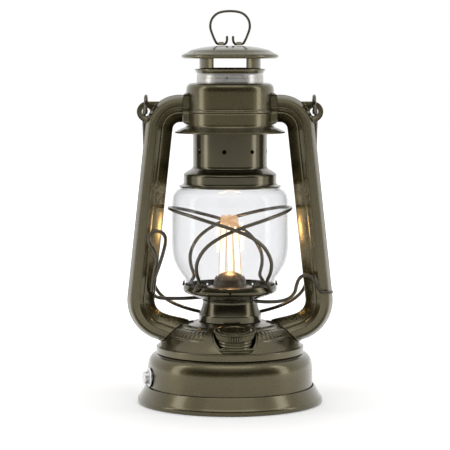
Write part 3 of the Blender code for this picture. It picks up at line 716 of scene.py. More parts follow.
class LANTERN_OT_dome(bpy.types.Operator):
    """Domed tank top with its rim band, raised border and pressed filler well"""
    bl_idname = "lantern.dome"
    bl_label = "Dome"

    def execute(self, context):
        """The dome is turned, its skin is raised by the pattern square to itself, and the
        well's mouth is bored through it."""
        outer = refined(DOME_SLOPE, 0.9)
        section = sheet_section(outer, in_mm(sizes().sheet))
        steps = 420
        grid = turn_round(section, steps)
        along = np.gradient(outer, axis=0)
        along /= np.linalg.norm(along, axis=1, keepdims=True)
        angle = np.linspace(0, TAU, steps, endpoint=False)[None]
        height = pressed_pattern(angle, outer[:, 0][:, None]) * in_mm(sizes().emboss)
        rows = len(outer)
        out = np.stack([along[:, 1][:, None] * np.cos(angle), along[:, 1][:, None] * np.sin(angle),
                        np.broadcast_to(-along[:, 0][:, None], height.shape)], axis=2)
        grid[:rows] += out * height[..., None]
        mouth = np.array([[0, 42.3], [16.3, 42.3], [16.3, 66.0], [0, 66.0]])
        centre = np.array([FILLER_PLACE[0], FILLER_PLACE[1], 0])
        mesh = cut_away(grid_mesh("dome", grid, wrap_rows=True),
                        [grid_mesh("mouth", turn_round(mouth, 128) + centre)])
        olive("Dome", mesh, "tank_dome")
        self.well(centre)
        return {"FINISHED"}

    def well(self, centre):
        """The cup: a turned floor and wall round the filler. Its lip follows the dome's skin,
        and it is drawn in where the dome is too narrow to hold it."""
        share = np.array([[0, 0], [0, 0], [0, 0], [0.02, 0.06], [0.10, 0.25], [0.5, 0.55], [0.92, 0.85],
                          [1.0, 1.0], [1.0, 1.0], [0.96, 0.85], [0.5, 0.5], [0, 0.1], [0, 0], [0, 0]])
        reach = np.array([0, 6.0, 12.6, 13.9, 14.6, 14.75, 14.8, 15.15, 15.75, 16.05, 16.05, 16.05,
                          15.6, 0])
        angle = np.linspace(0, TAU, 256, endpoint=False)[None]
        x = centre[0] + reach[:, None] * np.cos(angle)
        y = centre[1] + reach[:, None] * np.sin(angle)
        limit = 50.4 - np.clip(16.05 - reach, 0, 1.2)[:, None]
        draw = np.minimum(1.0, limit / np.maximum(np.hypot(x, y), 1e-6))
        x, y = x * draw, y * draw
        top = dome_height(x, y) + 0.05
        floor = np.where(np.arange(len(reach)) < 7, 42.6, 41.75)[:, None]
        grid = np.stack([x, y, floor + (top - floor) * share[:, 0][:, None]], axis=2)
        olive("Filler_well", grid_mesh("well", grid), "filler_well")


class LANTERN_OT_filler(bpy.types.Operator):
    """Ribbed filler neck, seal and knurled screw cap"""
    bl_idname = "lantern.filler"
    bl_label = "Filler"

    def execute(self, context):
        """All are turned round the tilted filler axis. The cap's rim is knurled by a rounded
        saw of the angle, and its top carries a raised ring, a groove and a low button."""
        def lay(grid):
            return placed(grid, FILLER_PLACE, FILLER_AXIS)

        neck = [(9.2, 2.1), (12.2, 2.1, 0.2)]
        for rib in (3.5, 5.6, 7.7):
            neck += [(12.1, rib - 0.9, 0.4), (12.9, rib, 0.6), (12.1, rib + 0.9, 0.4)]
        neck += [(12.1, 9.0, 0.3), (10.3, 9.1, 0.2), (10.3, 12.6, 0.2), (9.2, 12.6)]
        mesh = grid_mesh("neck", lay(turn_round(rounded(neck, steps=5), 128)), wrap_rows=True)
        olive("Filler_neck", mesh, "filler_neck")
        seal = rounded([(9.9, 12.9), (10.9, 12.9, 0.3), (10.9, 14.1, 0.3), (8.9, 14.1, 0.3),
                        (8.9, 12.9, 0.3), (9.9, 12.9)], steps=5)
        rubber = shared("seal_rubber", dull, (0.030, 0.030, 0.030), 0.75)
        piece("Cap_seal", grid_mesh("seal", lay(turn_round(seal, 96)), wrap_rows=True), "filler_seal",
              rubber, ["cap_seal"])
        outline = rounded([(0, 15.15), (2.6, 15.15, 0.6), (3.1, 15.45, 0.4), (6.6, 15.45, 0.5),
                           (7.1, 15.1, 0.4), (8.3, 15.1, 0.4), (8.9, 15.85, 0.5), (11.4, 15.85, 0.5),
                           (11.9, 15.35, 0.4), (13.4, 15.3, 0.5), (14.1, 15.7, 0.5), (15.2, 15.4, 0.5),
                           (15.25, 14.5, 0.4), (14.5, 13.8, 0.5), (13.3, 9.6, 0.4), (11.5, 9.6, 0.4),
                           (11.5, 14.4, 0.5), (0, 14.4)], steps=5)
        outline = refined(outline, 0.7)
        steps = sizes().knurls * 10
        grid = turn_round(outline, steps)
        angle = np.linspace(0, TAU, steps, endpoint=False)[None]
        tooth = np.abs(np.cos(angle * sizes().knurls / 2)) ** 1.5
        rim = (smoothstep(12.7, 13.4, outline[:, 0]) * smoothstep(9.4, 9.9, outline[:, 1]))[:, None]
        grid[..., :2] *= (1 - rim * (1 - tooth) * 0.055)[..., None]
        olive("Filler_cap", grid_mesh("cap", lay(grid)), "filler_cap", "filler_lid")
        return {"FINISHED"}


class LANTERN_OT_switch(bpy.types.Operator):
    """Silver push button in its bezel"""
    bl_idname = "lantern.switch"
    bl_label = "Push button"

    def execute(self, context):
        """Bezel and button are turned and laid on the drum's side, facing out."""
        bezel = rounded([(5.0, 57.6), (5.1, 57.7, 0.1), (5.15, 60.7, 0.1), (7.15, 60.7, 0.2),
                         (7.15, 61.4, 0.4), (6.5, 61.85, 0.5), (5.7, 61.9, 0.3), (5.1, 61.5, 0.3),
                         (4.8, 61.2, 0.2), (4.8, 57.6, 0.1), (5.0, 57.6)], steps=6)
        silver = shared("button_silver", metal, tuple(colours().silver), 0.30)
        mesh = grid_mesh("bezel", facing_out(turn_round(bezel, 128)), wrap_rows=True)
        piece("Button_bezel", mesh, "lantern_body", silver, ["button_bezel"])
        button = rounded([(0, 58.0), (3.8, 58.0, 0.3), (3.8, 54.5, 0.2), (4.45, 54.5, 0.2),
                          (4.45, 64.6, 0.9), (3.5, 65.4, 0.6), (2.6, 65.1, 0.6), (0, 64.95)], steps=7)
        mesh = grid_mesh("button", facing_out(turn_round(button, 128)))
        piece("Power_button", mesh, "button", silver, ["power_button"])
        return {"FINISHED"}


# ---------------------------------------------------------------- burner

class LANTERN_OT_burner(bpy.types.Operator):
    """Waisted neck with its sleeve, and the slotted burner cone"""
    bl_idname = "lantern.burner"
    bl_label = "Burner"

    def execute(self, context):
        """Neck and cone are turned. The neck carries a rolled seam near its top, and the
        cone's slot is cut through its crown."""
        outer = rounded([(22.8, NECK_LOW), (22.8, 64.3, 0.5), (22.2, 65.3, 0.8), (21.3, 67.6, 1.5),
                         (20.5, 70.5, 1.5), (20.05, 73.0, 0.8), (20.1, 74.2, 0.3), (20.35, 74.6, 0.3),
                         (20.1, 75.2, 0.2), (16.0, 75.4, 0.4), (15.6, 76.2, 0.4), (15.6, 82.6, 0.3),
                         (14.6, 82.6, 0.3), (14.6, 74.2, 0.5), (18.8, 74.1, 0.5), (19.4, 70.3, 1.0),
                         (21.2, 65.2, 0.8), (21.8, 64.0, 0.3), (21.8, NECK_LOW)], steps=6)
        olive("Burner_neck", lathe(refined(outer, 1.2)), "burner_neck", finish=shaded_gloss_paint())
        skin = rounded([(0, 96.5), (4.0, 96.2, 1.5), (7.2, 95.1, 1.5), (9.9, 92.9, 1.5),
                        (11.6, 89.8, 1.5), (12.1, 86.0, 0.8), (12.4, 84.7, 0.5), (16.6, 84.4, 0.3),
                        (16.6, 83.0, 0.2), (11.3, 83.0, 0.3), (11.1, 86.0, 0.8), (10.7, 89.4, 1.2),
                        (9.1, 92.1, 1.2), (6.6, 94.1, 1.2), (3.8, 95.0, 1.2), (0, 95.3)], steps=7)
        mesh = cut_away(lathe(refined(skin, 0.8)), [bar((-9.6, -4.0, 90.0), (9.6, 8.4, 98.0))])
        lacquer = shared("cone_lacquer", painted, (0.105, 0.080, 0.050), (0.075, 0.056, 0.034),
                         metallic=0.55, rough=(0.38, 0.52), peel=0.2)
        olive("Burner_cone", mesh, "burner_cone", finish=lacquer)
        return {"FINISHED"}


class LANTERN_OT_filaments(bpy.types.Operator):
    """Lit filament tubes"""
    bl_idname = "lantern.filaments"
    bl_label = "Filaments"

    def execute(self, context):
        """Each tube leans from its foot to its tip: a warm skin that lets a white-hot core
        show through. Both are turned and closed by rounded ends."""
        skin = shared("filament_glow_skin", glowing, tuple(colours().glow_edge), 1.0, 0.55)
        core = shared("filament_glow_core", glowing, tuple(colours().glow), 5.0)
        feet = {"left": ((-6.0, 0.0), (-4.4, 0.0)), "right": ((6.2, 0.0), (3.3, 0.0)),
                "back": ((0.3, 5.2), (-0.6, 4.9))}
        for label, (foot, tip) in feet.items():
            start, end = np.array([*foot, 88.6]), np.array([*tip, 137.0])
            length = np.linalg.norm(end - start)
            axis = (end - start) / length
            tube = rounded([(0, 0.0), (2.5, 0.0, 0.4), (2.5, length - 2.2, 2.0),
                            (1.6, length - 0.5, 1.0), (0, length - 0.1)], steps=6)
            rod = rounded([(0, 5.0), (1.75, 5.2, 0.5), (1.75, length - 12.0, 3.0), (0, length - 8.0)],
                          steps=6)
            for name, section, sides, light in (("Filament", tube, 40, skin),
                                                ("Filament_core", rod, 32, core)):
                mesh = grid_mesh(name, placed(turn_round(section, sides), start, axis))
                piece(f"{name}_{label}", mesh, "lantern_body", light, [f"led_filament_{label}"])
        return {"FINISHED"}


class LANTERN_OT_plate(bpy.types.Operator):
    """Pierced globe plate with its prongs"""
    bl_idname = "lantern.plate"
    bl_label = "Globe plate"

    def execute(self, context):
        """The saucer is turned and a ring of air holes is bored through it. Small prongs stand
        on its rim."""
        outer = rounded([(17.6, 75.7), (22.0, 76.3, 1.5), (28.2, 78.6, 2.0), (33.2, 80.6, 1.2),
                         (34.4, 82.4, 1.0), (34.3, 84.2, 0.8), (33.6, 86.2)], steps=7)
        mesh = lathe(sheet_section(refined(outer, 0.8), 0.9))
        count = sizes().plate_holes
        mesh = cut_away(mesh, drills(count, 0.85, 34.3, 82.9, first_angle=-90, half_length=2.5)
                        + drills(count, 1.2, 25.0, 77.5, first_angle=-90 + 180 / count,
                                 half_length=4.0, rise=2.4))
        prong = rounded([(0, -0.6), (1.0, -0.6, 0.2), (0.85, 1.2, 0.4), (0.25, 3.6, 0.3), (0, 3.7)],
                        steps=4)
        tips = []
        for angle in np.radians([2, 88, 178]):
            out = np.array([math.cos(angle), math.sin(angle), 0.0])
            lean = [-0.12 * out[0], -0.12 * out[1], 1.0]
            tips.append(grid_mesh("prong", placed(turn_round(prong, 20),
                                                  34.0 * out + [0, 0, 85.6], lean)))
        olive("Globe_plate", merged("plate", [mesh, *tips]), "globe_plate", "globe_carrier",
              shaded_gloss_paint())
        return {"FINISHED"}


# ---------------------------------------------------------------- globe and its wires

GLOBE_SKIN = rounded([(30.0, GLOBE_LOW), (32.8, 90.2, 3.0), (36.8, 95.5, 4.0), (40.3, 102.0, 3.5),
                      (42.0, 107.5, 3.5), (42.7, 115.5, 5.0), (42.65, 130.0, 6.0),
                      (42.5, 147.0, 3.0), (41.8, 151.0, 2.0), (39.9, 154.4, 2.0),
                      (36.6, 156.6, 1.8), (32.7, 158.2, 1.2), (32.2, GLOBE_TOP)], steps=10)


GLASS_WALL = 1.1


def globe_radius(z):
    """Outer radius of the globe at a height."""
    return np.interp(z, GLOBE_SKIN[:, 1], GLOBE_SKIN[:, 0])


class LANTERN_OT_globe(bpy.types.Operator):
    """Clear glass globe"""
    bl_idname = "lantern.globe"
    bl_label = "Globe"

    def execute(self, context):
        """The globe is turned, with fire-rounded rims at both ends."""
        section = sheet_section(refined(GLOBE_SKIN, 1.5), GLASS_WALL, hem=6)
        piece("Globe", lathe(section), "globe_carrier", shared("globe_glass", glass), ["globe"])
        return {"FINISHED"}


GUARD_TURN = 5.0


class LANTERN_OT_guards(bpy.types.Operator):
    """Two crossed guard wires and the guide wire"""
    bl_idname = "lantern.guards"
    bl_label = "Guard wires"

    def execute(self, context):
        """A guard runs from its highest point down both sides of the globe, a wire's radius
        clear of the glass, and ends at the plate. The second bows out over the first where
        they cross. The guide wire follows a curve through its own points."""
        gauge = in_mm(sizes().wire_radius)
        turn, z = np.array([(0, 142.0), (25, 141.0), (52, 137.6), (80, 132.0), (95, 127.5),
                            (105, 123.6), (115, 118.3), (122.7, 112.0), (128.5, 104.7),
                            (132, 97.5), (134.5, 90.5)]).T
        for side, label in ((1, "a"), (-1, "b")):
            bow = np.where(np.abs(turn - 90) < 30, np.cos(np.radians((turn - 90) * 3)), 0.0)
            reach = globe_radius(z) + 1.8 + (2.9 * bow if side < 0 else 0.0)
            half = np.vstack([np.column_stack([turn, reach, z]),
                              [(137.0, 36.2, 86.2), (139.5, 36.3, 83.2)]])
            route = curve_through(np.vstack([half[:0:-1] * [-1, 1, 1], half]), 12)
            angle = np.radians(route[:, 0] + GUARD_TURN * side)
            path = np.column_stack([side * route[:, 1] * np.cos(angle), route[:, 1] * np.sin(angle),
                                    route[:, 2]])
            mesh = grid_mesh("guard", wire_grid(path, gauge, path * [1, 1, 0], 18))
            olive_wire(f"Guard_wire_{label}", mesh, f"guard_wire_{label}")
        front = -11.8
        guide = curve_through([(19, -13, 75.1), (27, -12.6, 74.6), (36, front, 75.0),
                               (42.5, front, 77.0), (46.8, front, 81.5), (48.2, front, 86.5),
                               (50.2, front, 91.5), (54.5, front, 94.0), (58.5, front, 92.8),
                               (62.0, front, 88.0), (64.8, front, 83.5), (67.2, front, 81.5),
                               (70.4, -11.7, 81.3), (72.6, -10.4, 81.3), (73.8, -8.0, 81.3)], 10)
        mesh = grid_mesh("guide", wire_grid(guide, gauge, (-0.5, 1.0, 0.0), 18))
        olive_wire("Guide_wire", mesh, "guide_wire")
        return {"FINISHED"}


class LANTERN_OT_lever(bpy.types.Operator):
    """Lift lever with its finger loop"""
    bl_idname = "lantern.lever"
    bl_label = "Lift lever"

    def execute(self, context):
        """One wire: the loop before the left tube, the pin through it and the arm behind. The
        direction that its circles are drawn on turns from Y to X round the pin."""
        x, z = LEVER_PIVOT[0], LEVER_PIVOT[2]
        front, clear = -12.7, -11.4
        points = [(-54.8, front, 91.5), (-53.0, front, 96.5), (-50.4, front, 104),
                  (-48.0, front, 112), (-46.6, -12.2, 119.5), (-48.4, -11.6, 124.2),
                  (-52.6, clear, 126.0), (-57.0, clear, 124.6), (-58.8, -11.3, 120.5),
                  (-57.4, clear, 115.2), (-54.6, clear, 111.0), (-53.2, clear, 106.0),
                  (-54.2, -10.9, 100.0),
                  (-55.6, -9.6, 93.0), (-56.8, -7.4, 85.6), (x, -5.4, z), (x, 0, z), (x, 5.4, z),
                  (-56.2, 7.4, 77.6), (-52.5, 8.8, 75.2), (-46, 9.8, 74.5), (-34, 11.6, 74.3),
                  (-24, 13.6, 74.7), (-18.6, 14.6, 74.9)]
        across = [(0, 1, 0)] * 13 + [(0.3, 1, 0), (0.8, 0.7, 0), (1, 0.1, 0), (1, 0, 0), (1, -0.1, 0),
                                     (0.8, 0.5, 0.5), (0.1, 1, 0.3)] + [(0, 1, 0)] * 4
        mesh = grid_mesh("lever", wire_grid(curve_through(points, 10), in_mm(sizes().wire_radius),
                                            curve_through(across, 10), 18))
        olive_wire("Lift_lever", mesh, "lift_lever", "lever")
        return {"FINISHED"}


# ---------------------------------------------------------------- side tubes

BEAD_R = 0.42
LUG_EYE, LUG_EYE_R = (61.0, 212.0), 3.05


def bent_route(corners, bends, longest=2.0):
    """A route of straight runs joined by round bends: each corner is replaced by the arc of its
    radius that touches both runs. Points are never further apart than a length."""
    corners = np.asarray(corners, float)
    runs = [corners[:1]]
    for corner, before, after, bend in zip(corners[1:-1], corners[:-2], corners[2:], bends):
        back, on = before - corner, after - corner
        back, on = back / np.linalg.norm(back), on / np.linalg.norm(on)
        half = math.acos(float(back @ on)) / 2
        middle = back + on
        centre = corner + middle / np.linalg.norm(middle) * bend / math.sin(half)
        swing = np.linspace(-1, 1, 24)[:, None] * (math.pi / 2 - half)
        inward = -middle / np.linalg.norm(middle)
        across = (on - back) / np.linalg.norm(on - back)
        runs.append(centre + bend * (np.cos(swing) * inward + np.sin(swing) * across))
    runs.append(corners[-1:])
    return refined(np.vstack(runs), longest)


def tube_section():
    """(outward, depth) points round the tube: the folded seam on its outer side, a flat strip
    with rolled edges front and back, and two slanted facets, each with a pressed groove."""
    half = [(9.95, 0.75, 0.2), (9.45, 1.1, 0.3), (9.35, 3.3, 0.8), (8.2, 6.4, 2.0), (7.05, 8.9, 0.7),
            (6.2, 9.5, 0.7), (5.5, 9.15, 0.5), (1.5, 9.15, 0.5), (0.8, 9.5, 0.6), (0.05, 8.9, 0.6),
            (-1.9, 7.75, 0.4), (-2.5, 7.0, 0.4), (-3.2, 6.95, 0.4), (-6.2, 4.7, 1.5),
            (-9.0, 2.1, 1.2), (-9.95, 0.6, 0.5)]
    mirrored = [(u, -v, *bend) for u, v, *bend in half[::-1]]
    section = rounded([(9.95, 0.0)] + half + mirrored + [(9.95, 0.0)], steps=5)
    return section[:-1]


def dome_gap_outline():
    """The body that the tubes' mouths are cut back to, a small gap outside the tank."""
    slope = DOME_SLOPE[DOME_SLOPE[:, 1] > 42.2]
    return np.vstack([[(0, 20), (54.2, 20), (54.2, 42.2)], slope[:-6] + [0.3, 0.3],
                      [(23.2, 64.8), (20.7, 76.0), (0, 76.0)]])


class LANTERN_OT_side_tubes(bpy.types.Operator):
    """Pressed side tubes with their lugs and the joint beads on the dome"""
    bl_idname = "lantern.side_tubes"
    bl_label = "Side tubes"

    def execute(self, context):
        """The section is carried along the bent route, outside down and inside back up, so the
        sheet is closed at both ends. The tube widens towards its mouth and is cut back to the
        tank. A bead runs round the joint, and the lug is a plate spread from its eye."""
        route = bent_route([(34.3, 214.4), (50.05, 214.4), (66.75, 61.0), (34.0, 49.1)],
                           (15.2, 20.2))
        along = np.gradient(route, axis=0)
        along /= np.linalg.norm(along, axis=1, keepdims=True)
        outward = np.column_stack([-along[:, 1], along[:, 0]])
        run = np.concatenate([[0], np.cumsum(np.linalg.norm(np.diff(route, axis=0), axis=1))])
        widen = 1 + 0.16 * smoothstep(run[-1] - 17, run[-1], run)
        section = tube_section()

        def skin(scale):
            """The tube's surface with its section at a scale."""
            u = section[None, :, 0] * scale * widen[:, None]
            flat = route[:, None] + outward[:, None] * u[..., None]
            depth = section[None, :, 1] * scale * widen[:, None]
            return np.stack([flat[..., 0], depth, flat[..., 1]], axis=2)

        outside = skin(1.0)
        whole = np.vstack([outside, skin(0.89)[::-1]])
        tank = dome_gap_outline()
        last, step = outside[-1], outside[-1] - outside[-9]
        reach = np.linspace(-3.0, 1.0, 400)[:, None, None]
        ray = last[None] + reach * step[None]
        far = (np.hypot(ray[..., 0], ray[..., 1])
               - np.interp(ray[..., 2], tank[3:-1, 1], tank[3:-1, 0]))
        hit = np.argmin(np.abs(far - 0.45), axis=0)
        bead = ray[hit, np.arange(last.shape[0])]
        bead[:, 2] = np.maximum(bead[:, 2], 43.0)
        for side, label in ((-1, "left"), (1, "right")):
            flip = np.array([side, 1, 1])
            tools = [lathe(tank, 256)]
            if side < 0:
                pin = np.array([[0, -15], [1.7, -15], [1.7, 15], [0, 15]])
                place = (LEVER_PIVOT[0], 0, LEVER_PIVOT[2])
                tools.append(grid_mesh("pin", placed(turn_round(pin, 32), place, (0, 1, 0))))
            tube = cut_away(grid_mesh("tube", whole * flip, wrap_rows=True), tools)
            ring = grid_mesh("bead", self.bead(bead * flip), wrap_rows=True)
            mesh = merged("tube", [tube, ring, self.lug(flip)])
            olive(f"Side_tube_{label}", mesh, f"side_tube_{label}")
        return {"FINISHED"}

    def bead(self, ring):
        """A closed wire round the joint: small circles square to the ring's own direction."""
        along = np.roll(ring, -1, axis=0) - np.roll(ring, 1, axis=0)
        along /= np.maximum(np.linalg.norm(along, axis=1, keepdims=True), 1e-6)
        centre = ring.mean(axis=0)
        first = np.cross(along, ring - centre)
        first /= np.maximum(np.linalg.norm(first, axis=1, keepdims=True), 1e-6)
        second = np.cross(along, first)
        angle = np.linspace(0, TAU, 10, endpoint=False)[None, :, None]
        circle = np.cos(angle) * first[:, None] + np.sin(angle) * second[:, None]
        return ring[:, None] + BEAD_R * circle

    def lug(self, flip):
        """The lug's skin: from the eye to the outline and back on the other face. Each point
        lies at a share of the way between them, with a low rib round the outline and the eye."""
        turn = np.radians(np.linspace(90, -52, 20))
        tip = np.column_stack([60.2 + 7.5 * np.cos(turn), 212 + 7.5 * np.sin(turn)])
        loop = refined(rounded([(54.0, 219.5), (58.0, 219.5), *tip, (57.5, 200.5, 1.0),
                                (49.5, 210.0, 2.0), (50.3, 219.5, 1.5), (54.0, 219.5)],
                               radius=1.0, steps=4), 0.6)
        eye = np.array(LUG_EYE)
        arm = loop - eye
        size = np.linalg.norm(arm, axis=1)
        angle = np.arctan2(arm[:, 1], arm[:, 0])
        order = np.argsort(angle)
        steps = np.linspace(-math.pi, math.pi, 160, endpoint=False)
        edge = np.interp(steps, angle[order], size[order], period=TAU)
        share = np.array([0, 0.06, 0.16, 0.24, 0.5, 0.80, 0.86, 0.93, 0.985, 1.0])
        thick = np.array([0.62, 1.0, 1.0, 0.72, 0.66, 0.66, 0.95, 1.0, 0.8, 0.0])
        share = np.concatenate([share, share[-2::-1]])
        thick = np.concatenate([thick, -thick[-2::-1]])
        reach = LUG_EYE_R + share[:, None] * (edge[None] - LUG_EYE_R)
        grid = np.stack([eye[0] + reach * np.cos(steps), np.broadcast_to(thick[:, None], reach.shape),
                         eye[1] + reach * np.sin(steps)], axis=2)
        return grid_mesh("lug", grid * flip, wrap_rows=True)


# ---------------------------------------------------------------- hood, chimney and cap

BOSS_REACH = 33.9


class LANTERN_OT_hood(bpy.types.Operator):
    """Fixed hood with its skirt, bead and side bosses"""
    bl_idname = "lantern.hood"
    bl_label = "Hood"

    def execute(self, context):
        """The hood is turned. Towards each side tube its skin is drawn out to a flat boss: the
        radius becomes the boss's distance over the cosine of the angle, with soft edges."""
        outline = rounded([(SKIRT_R, HOOD_LOW), (SKIRT_R, 197.6, 0.4), (36.4, 199.7, 2.0),
                           (32.8, 201.0, 1.2), (31.9, 202.2, 0.8), (31.9, 211.1, 0.7),
                           (32.8, 211.8, 0.5), (32.8, 213.2, 0.5), (31.9, 213.9, 0.7),
                           (31.9, 229.0, 2.5), (30.6, 231.9, 1.5), (27.6, HOOD_TOP, 1.2),
                           (25.0, HOOD_TOP)], steps=8)
        outer = refined(outline, 1.0)
        section = sheet_section(outer, in_mm(sizes().sheet))
        steps = 340
        grid = turn_round(section, steps)
        angle = np.linspace(0, TAU, steps, endpoint=False)
        cosine = np.maximum(np.abs(np.cos(angle)), 0.5)[None]
        y = np.abs(BOSS_REACH * np.tan(np.arccos(cosine)))
        z = outer[:, 1][:, None]
        inside = (1 - smoothstep(12.4, 13.9, y)) * smoothstep(202.8, 204.4, z) * (
            1 - smoothstep(224.4, 226.2, z))
        radius = outer[:, 0][:, None]
        drawn = radius + inside * np.maximum(BOSS_REACH / cosine - radius, 0)
        grid[:len(outer), :, :2] *= (drawn / radius)[..., None]
        olive("Hood", grid_mesh("hood", grid, wrap_rows=True), "hood")
        return {"FINISHED"}


class LANTERN_OT_chimney(bpy.types.Operator):
    """Globe holder with its pierced chimney, and the bright draught tube"""
    bl_idname = "lantern.chimney"
    bl_label = "Chimney"

    def execute(self, context):
        """Both tubes are turned. The chimney's air holes are bored, and its foot is folded out
        into a flange."""
        outline = rounded([(HOLDER_FLANGE_R, CHIMNEY_LOW), (HOLDER_FLANGE_R, 158.5, 0.3),
                           (34.5, 159.2, 0.6), (34.0, 160.2, 0.6), (34.0, 166.6, 0.8),
                           (33.0, 167.8, 0.9), (30.3, 169.5, 1.5), (27.7, 171.0, 1.0),
                           (27.1, 172.2, 0.8), (27.1, 208.0)], steps=7)
        mesh = lathe(sheet_section(refined(outline, 1.0), 0.9))
        mesh = cut_away(mesh, drills(8, 1.6, 27.0, 183.8, first_angle=-99.0, half_length=3.0))
        olive("Chimney", mesh, "chimney_tube", "chimney", shaded_gloss_paint())
        tube = rounded([(25.8, 200.0), (25.8, 200.9, 0.3), (24.4, 201.4, 0.5), (24.1, 202.2, 0.5),
                        (24.1, 236.4, 0.3), (23.95, 236.8, 0.3), (23.95, DRAUGHT_TOP, 0.2),
                        (23.3, DRAUGHT_TOP, 0.2), (23.3, 200.0)], steps=5)
        piece("Draught_tube", lathe(refined(tube, 1.5)), "chimney", shared("galvanised", zinc),
              ["draught_tube"])
        return {"FINISHED"}


class LANTERN_OT_cap(bpy.types.Operator):
    """Windowed collar, vented top cap, ring clips and ring"""
    bl_idname = "lantern.cap"
    bl_label = "Top cap and ring"

    def execute(self, context):
        """Collar and cap are turned and pierced. Each clip is a strap carried along its arch,
        and the ring is one wire."""
        collar = rounded([(23.9, 239.5), (25.6, 242.2, 0.8), (25.6, 243.0, 0.3), (22.6, 243.2, 0.4),
                          (22.2, 243.8, 0.3), (22.2, 256.3, 0.2), (21.3, 256.3, 0.2),
                          (21.3, 242.4, 0.3), (24.4, 242.0, 0.3), (23.0, 239.5)], steps=6)
        mesh = cut_away(lathe(refined(collar, 1.0)), [bar((-12, -30, 243.9), (12, 30, 252.0))])
        olive("Cap_collar", mesh, "cap_collar", "chimney")
        outline = rounded([(34.0, CAP_LOW), (CAP_R, 251.4, 0.7), (CAP_R, 252.8, 0.7),
                           (33.4, 254.0, 0.8), (31.6, 254.6, 0.8), (30.6, 255.3, 0.7),
                           (28.2, 256.7, 1.2), (21.0, 258.4, 2.5), (12.6, 259.5, 3.0),
                           (0, CAP_TOP)], steps=8)
        mesh = lathe(sheet_section(refined(outline, 1.0), 0.9))
        mesh = cut_away(mesh, drills(sizes().cap_holes, 0.62, 32.6, 254.2, first_angle=-101.4,
                                     half_length=2.2, rise=1.3))
        olive("Top_cap", mesh, "top_cap", "chimney")
        strap = refined(rounded([(-4.4, 260.35), (-2.2, 260.45, 0.4), (-1.62, 261.3, 0.4),
                                 (-1.0, 262.3, 0.6), (0, 262.62, 0.6), (1.0, 262.3, 0.6),
                                 (1.62, 261.3, 0.4), (2.2, 260.45, 0.4), (4.4, 260.35)], steps=6), 0.3)
        section = sheet_section(strap, -0.26, hem=2)
        across = np.array([-1.75, -1.6, 1.6, 1.75])
        middle = section.mean(axis=0)
        squeeze = np.array([0.98, 1.0, 1.0, 0.98])[:, None]
        y = middle[0] + (section[:, 0] - middle[0]) * squeeze
        z = np.broadcast_to(section[:, 1], y.shape)
        for side, label in ((-1, "left"), (1, "right")):
            x = np.broadcast_to(side * 6.4 + across[:, None], y.shape)
            sides = np.stack([x, y, z], axis=2)
            olive(f"Ring_clip_{label}", self.strap_mesh(sides), f"ring_clip_{label}", "chimney")
        half = [(2.2, 266.0), (2.3, 263.2), (3.6, RING_AXIS_Z), (6.2, RING_AXIS_Z),
                (8.8, RING_AXIS_Z), (10.4, 262.6), (12.7, 267.6), (14.3, 273.4), (12.9, 279.2),
                (8.2, 283.4)]
        points = half + [(0, 284.65)] + [(-x, z) for x, z in half[::-1]]
        path = curve_through([(x, 0, z) for x, z in points], 12)
        mesh = grid_mesh("ring", wire_grid(path, in_mm(sizes().ring_wire), (0, 1, 0), 16))
        olive_wire("Cap_ring", mesh, "cap_ring", "hanging_ring")
        return {"FINISHED"}

    def strap_mesh(self, sides):
        """A strap from its closed outlines side by side, with a flat face at each end."""
        mesh = grid_mesh("strap", sides)
        bm = bmesh.new()
        bm.from_mesh(mesh)
        bmesh.ops.holes_fill(bm, edges=[edge for edge in bm.edges if edge.is_boundary], sides=0)
        bmesh.ops.recalc_face_normals(bm, faces=bm.faces)
        bm.to_mesh(mesh)
        bm.free()
        mesh.set_sharp_from_angle(angle=SHARP)
        return mesh


class LANTERN_OT_handle(bpy.types.Operator):
    """Wire carrying handle"""
    bl_idname = "lantern.handle"
    bl_label = "Handle"

    def execute(self, context):
        """Half the handle is drawn by its distance out from the hinge and off its own plane:
        a hook of 298 degrees, a leg and half the arc. It is mirrored and leaned to hang at the
        back. Its circles are drawn on X round the hooks and on the plane's normal elsewhere."""
        turn = np.radians(np.linspace(298, 0, 12))
        hook = np.column_stack([np.full(12, 61.0), 6 * np.cos(turn), -6 * np.sin(turn)])
        leg = [(61.6, 6.0, 3.0), (62.7, 5.6, 9.0), (62.4, 3.6, 32.0), (60.6, 0.8, 82.0),
               (58.4, 0.0, 122.0), (57.6, 0.0, 133.0), (55.8, 0.0, 141.0), (51.4, 0.0, 147.5),
               (44.0, 0.0, 153.0), (34.0, 0.0, 157.4), (22.0, 0.0, 160.8), (11.0, 0.0, 162.7)]
        half = np.vstack([hook, leg])
        drawn = curve_through(np.vstack([half, [(0, 0, 163.2)], half[::-1] * [-1, 1, 1]]), 8)
        rest = math.radians(13.7)
        plane = np.array([0, math.cos(rest), math.sin(rest)])
        down = np.array([0, math.sin(rest), -math.cos(rest)])
        path = (drawn[:, :1] * [1, 0, 0] + drawn[:, 1:2] * plane + drawn[:, 2:] * down
                + [0, 0, HANDLE_AXIS_Z])
        share = smoothstep(12.0, 60.0, drawn[:, 2:])
        across = (1 - share) * np.array([1.0, 0, 0]) + share * plane
        mesh = grid_mesh("handle", wire_grid(path, in_mm(sizes().wire_radius), across, 18))
        olive_wire("Bail_handle", mesh, "bail_handle", "handle")
        return {"FINISHED"}


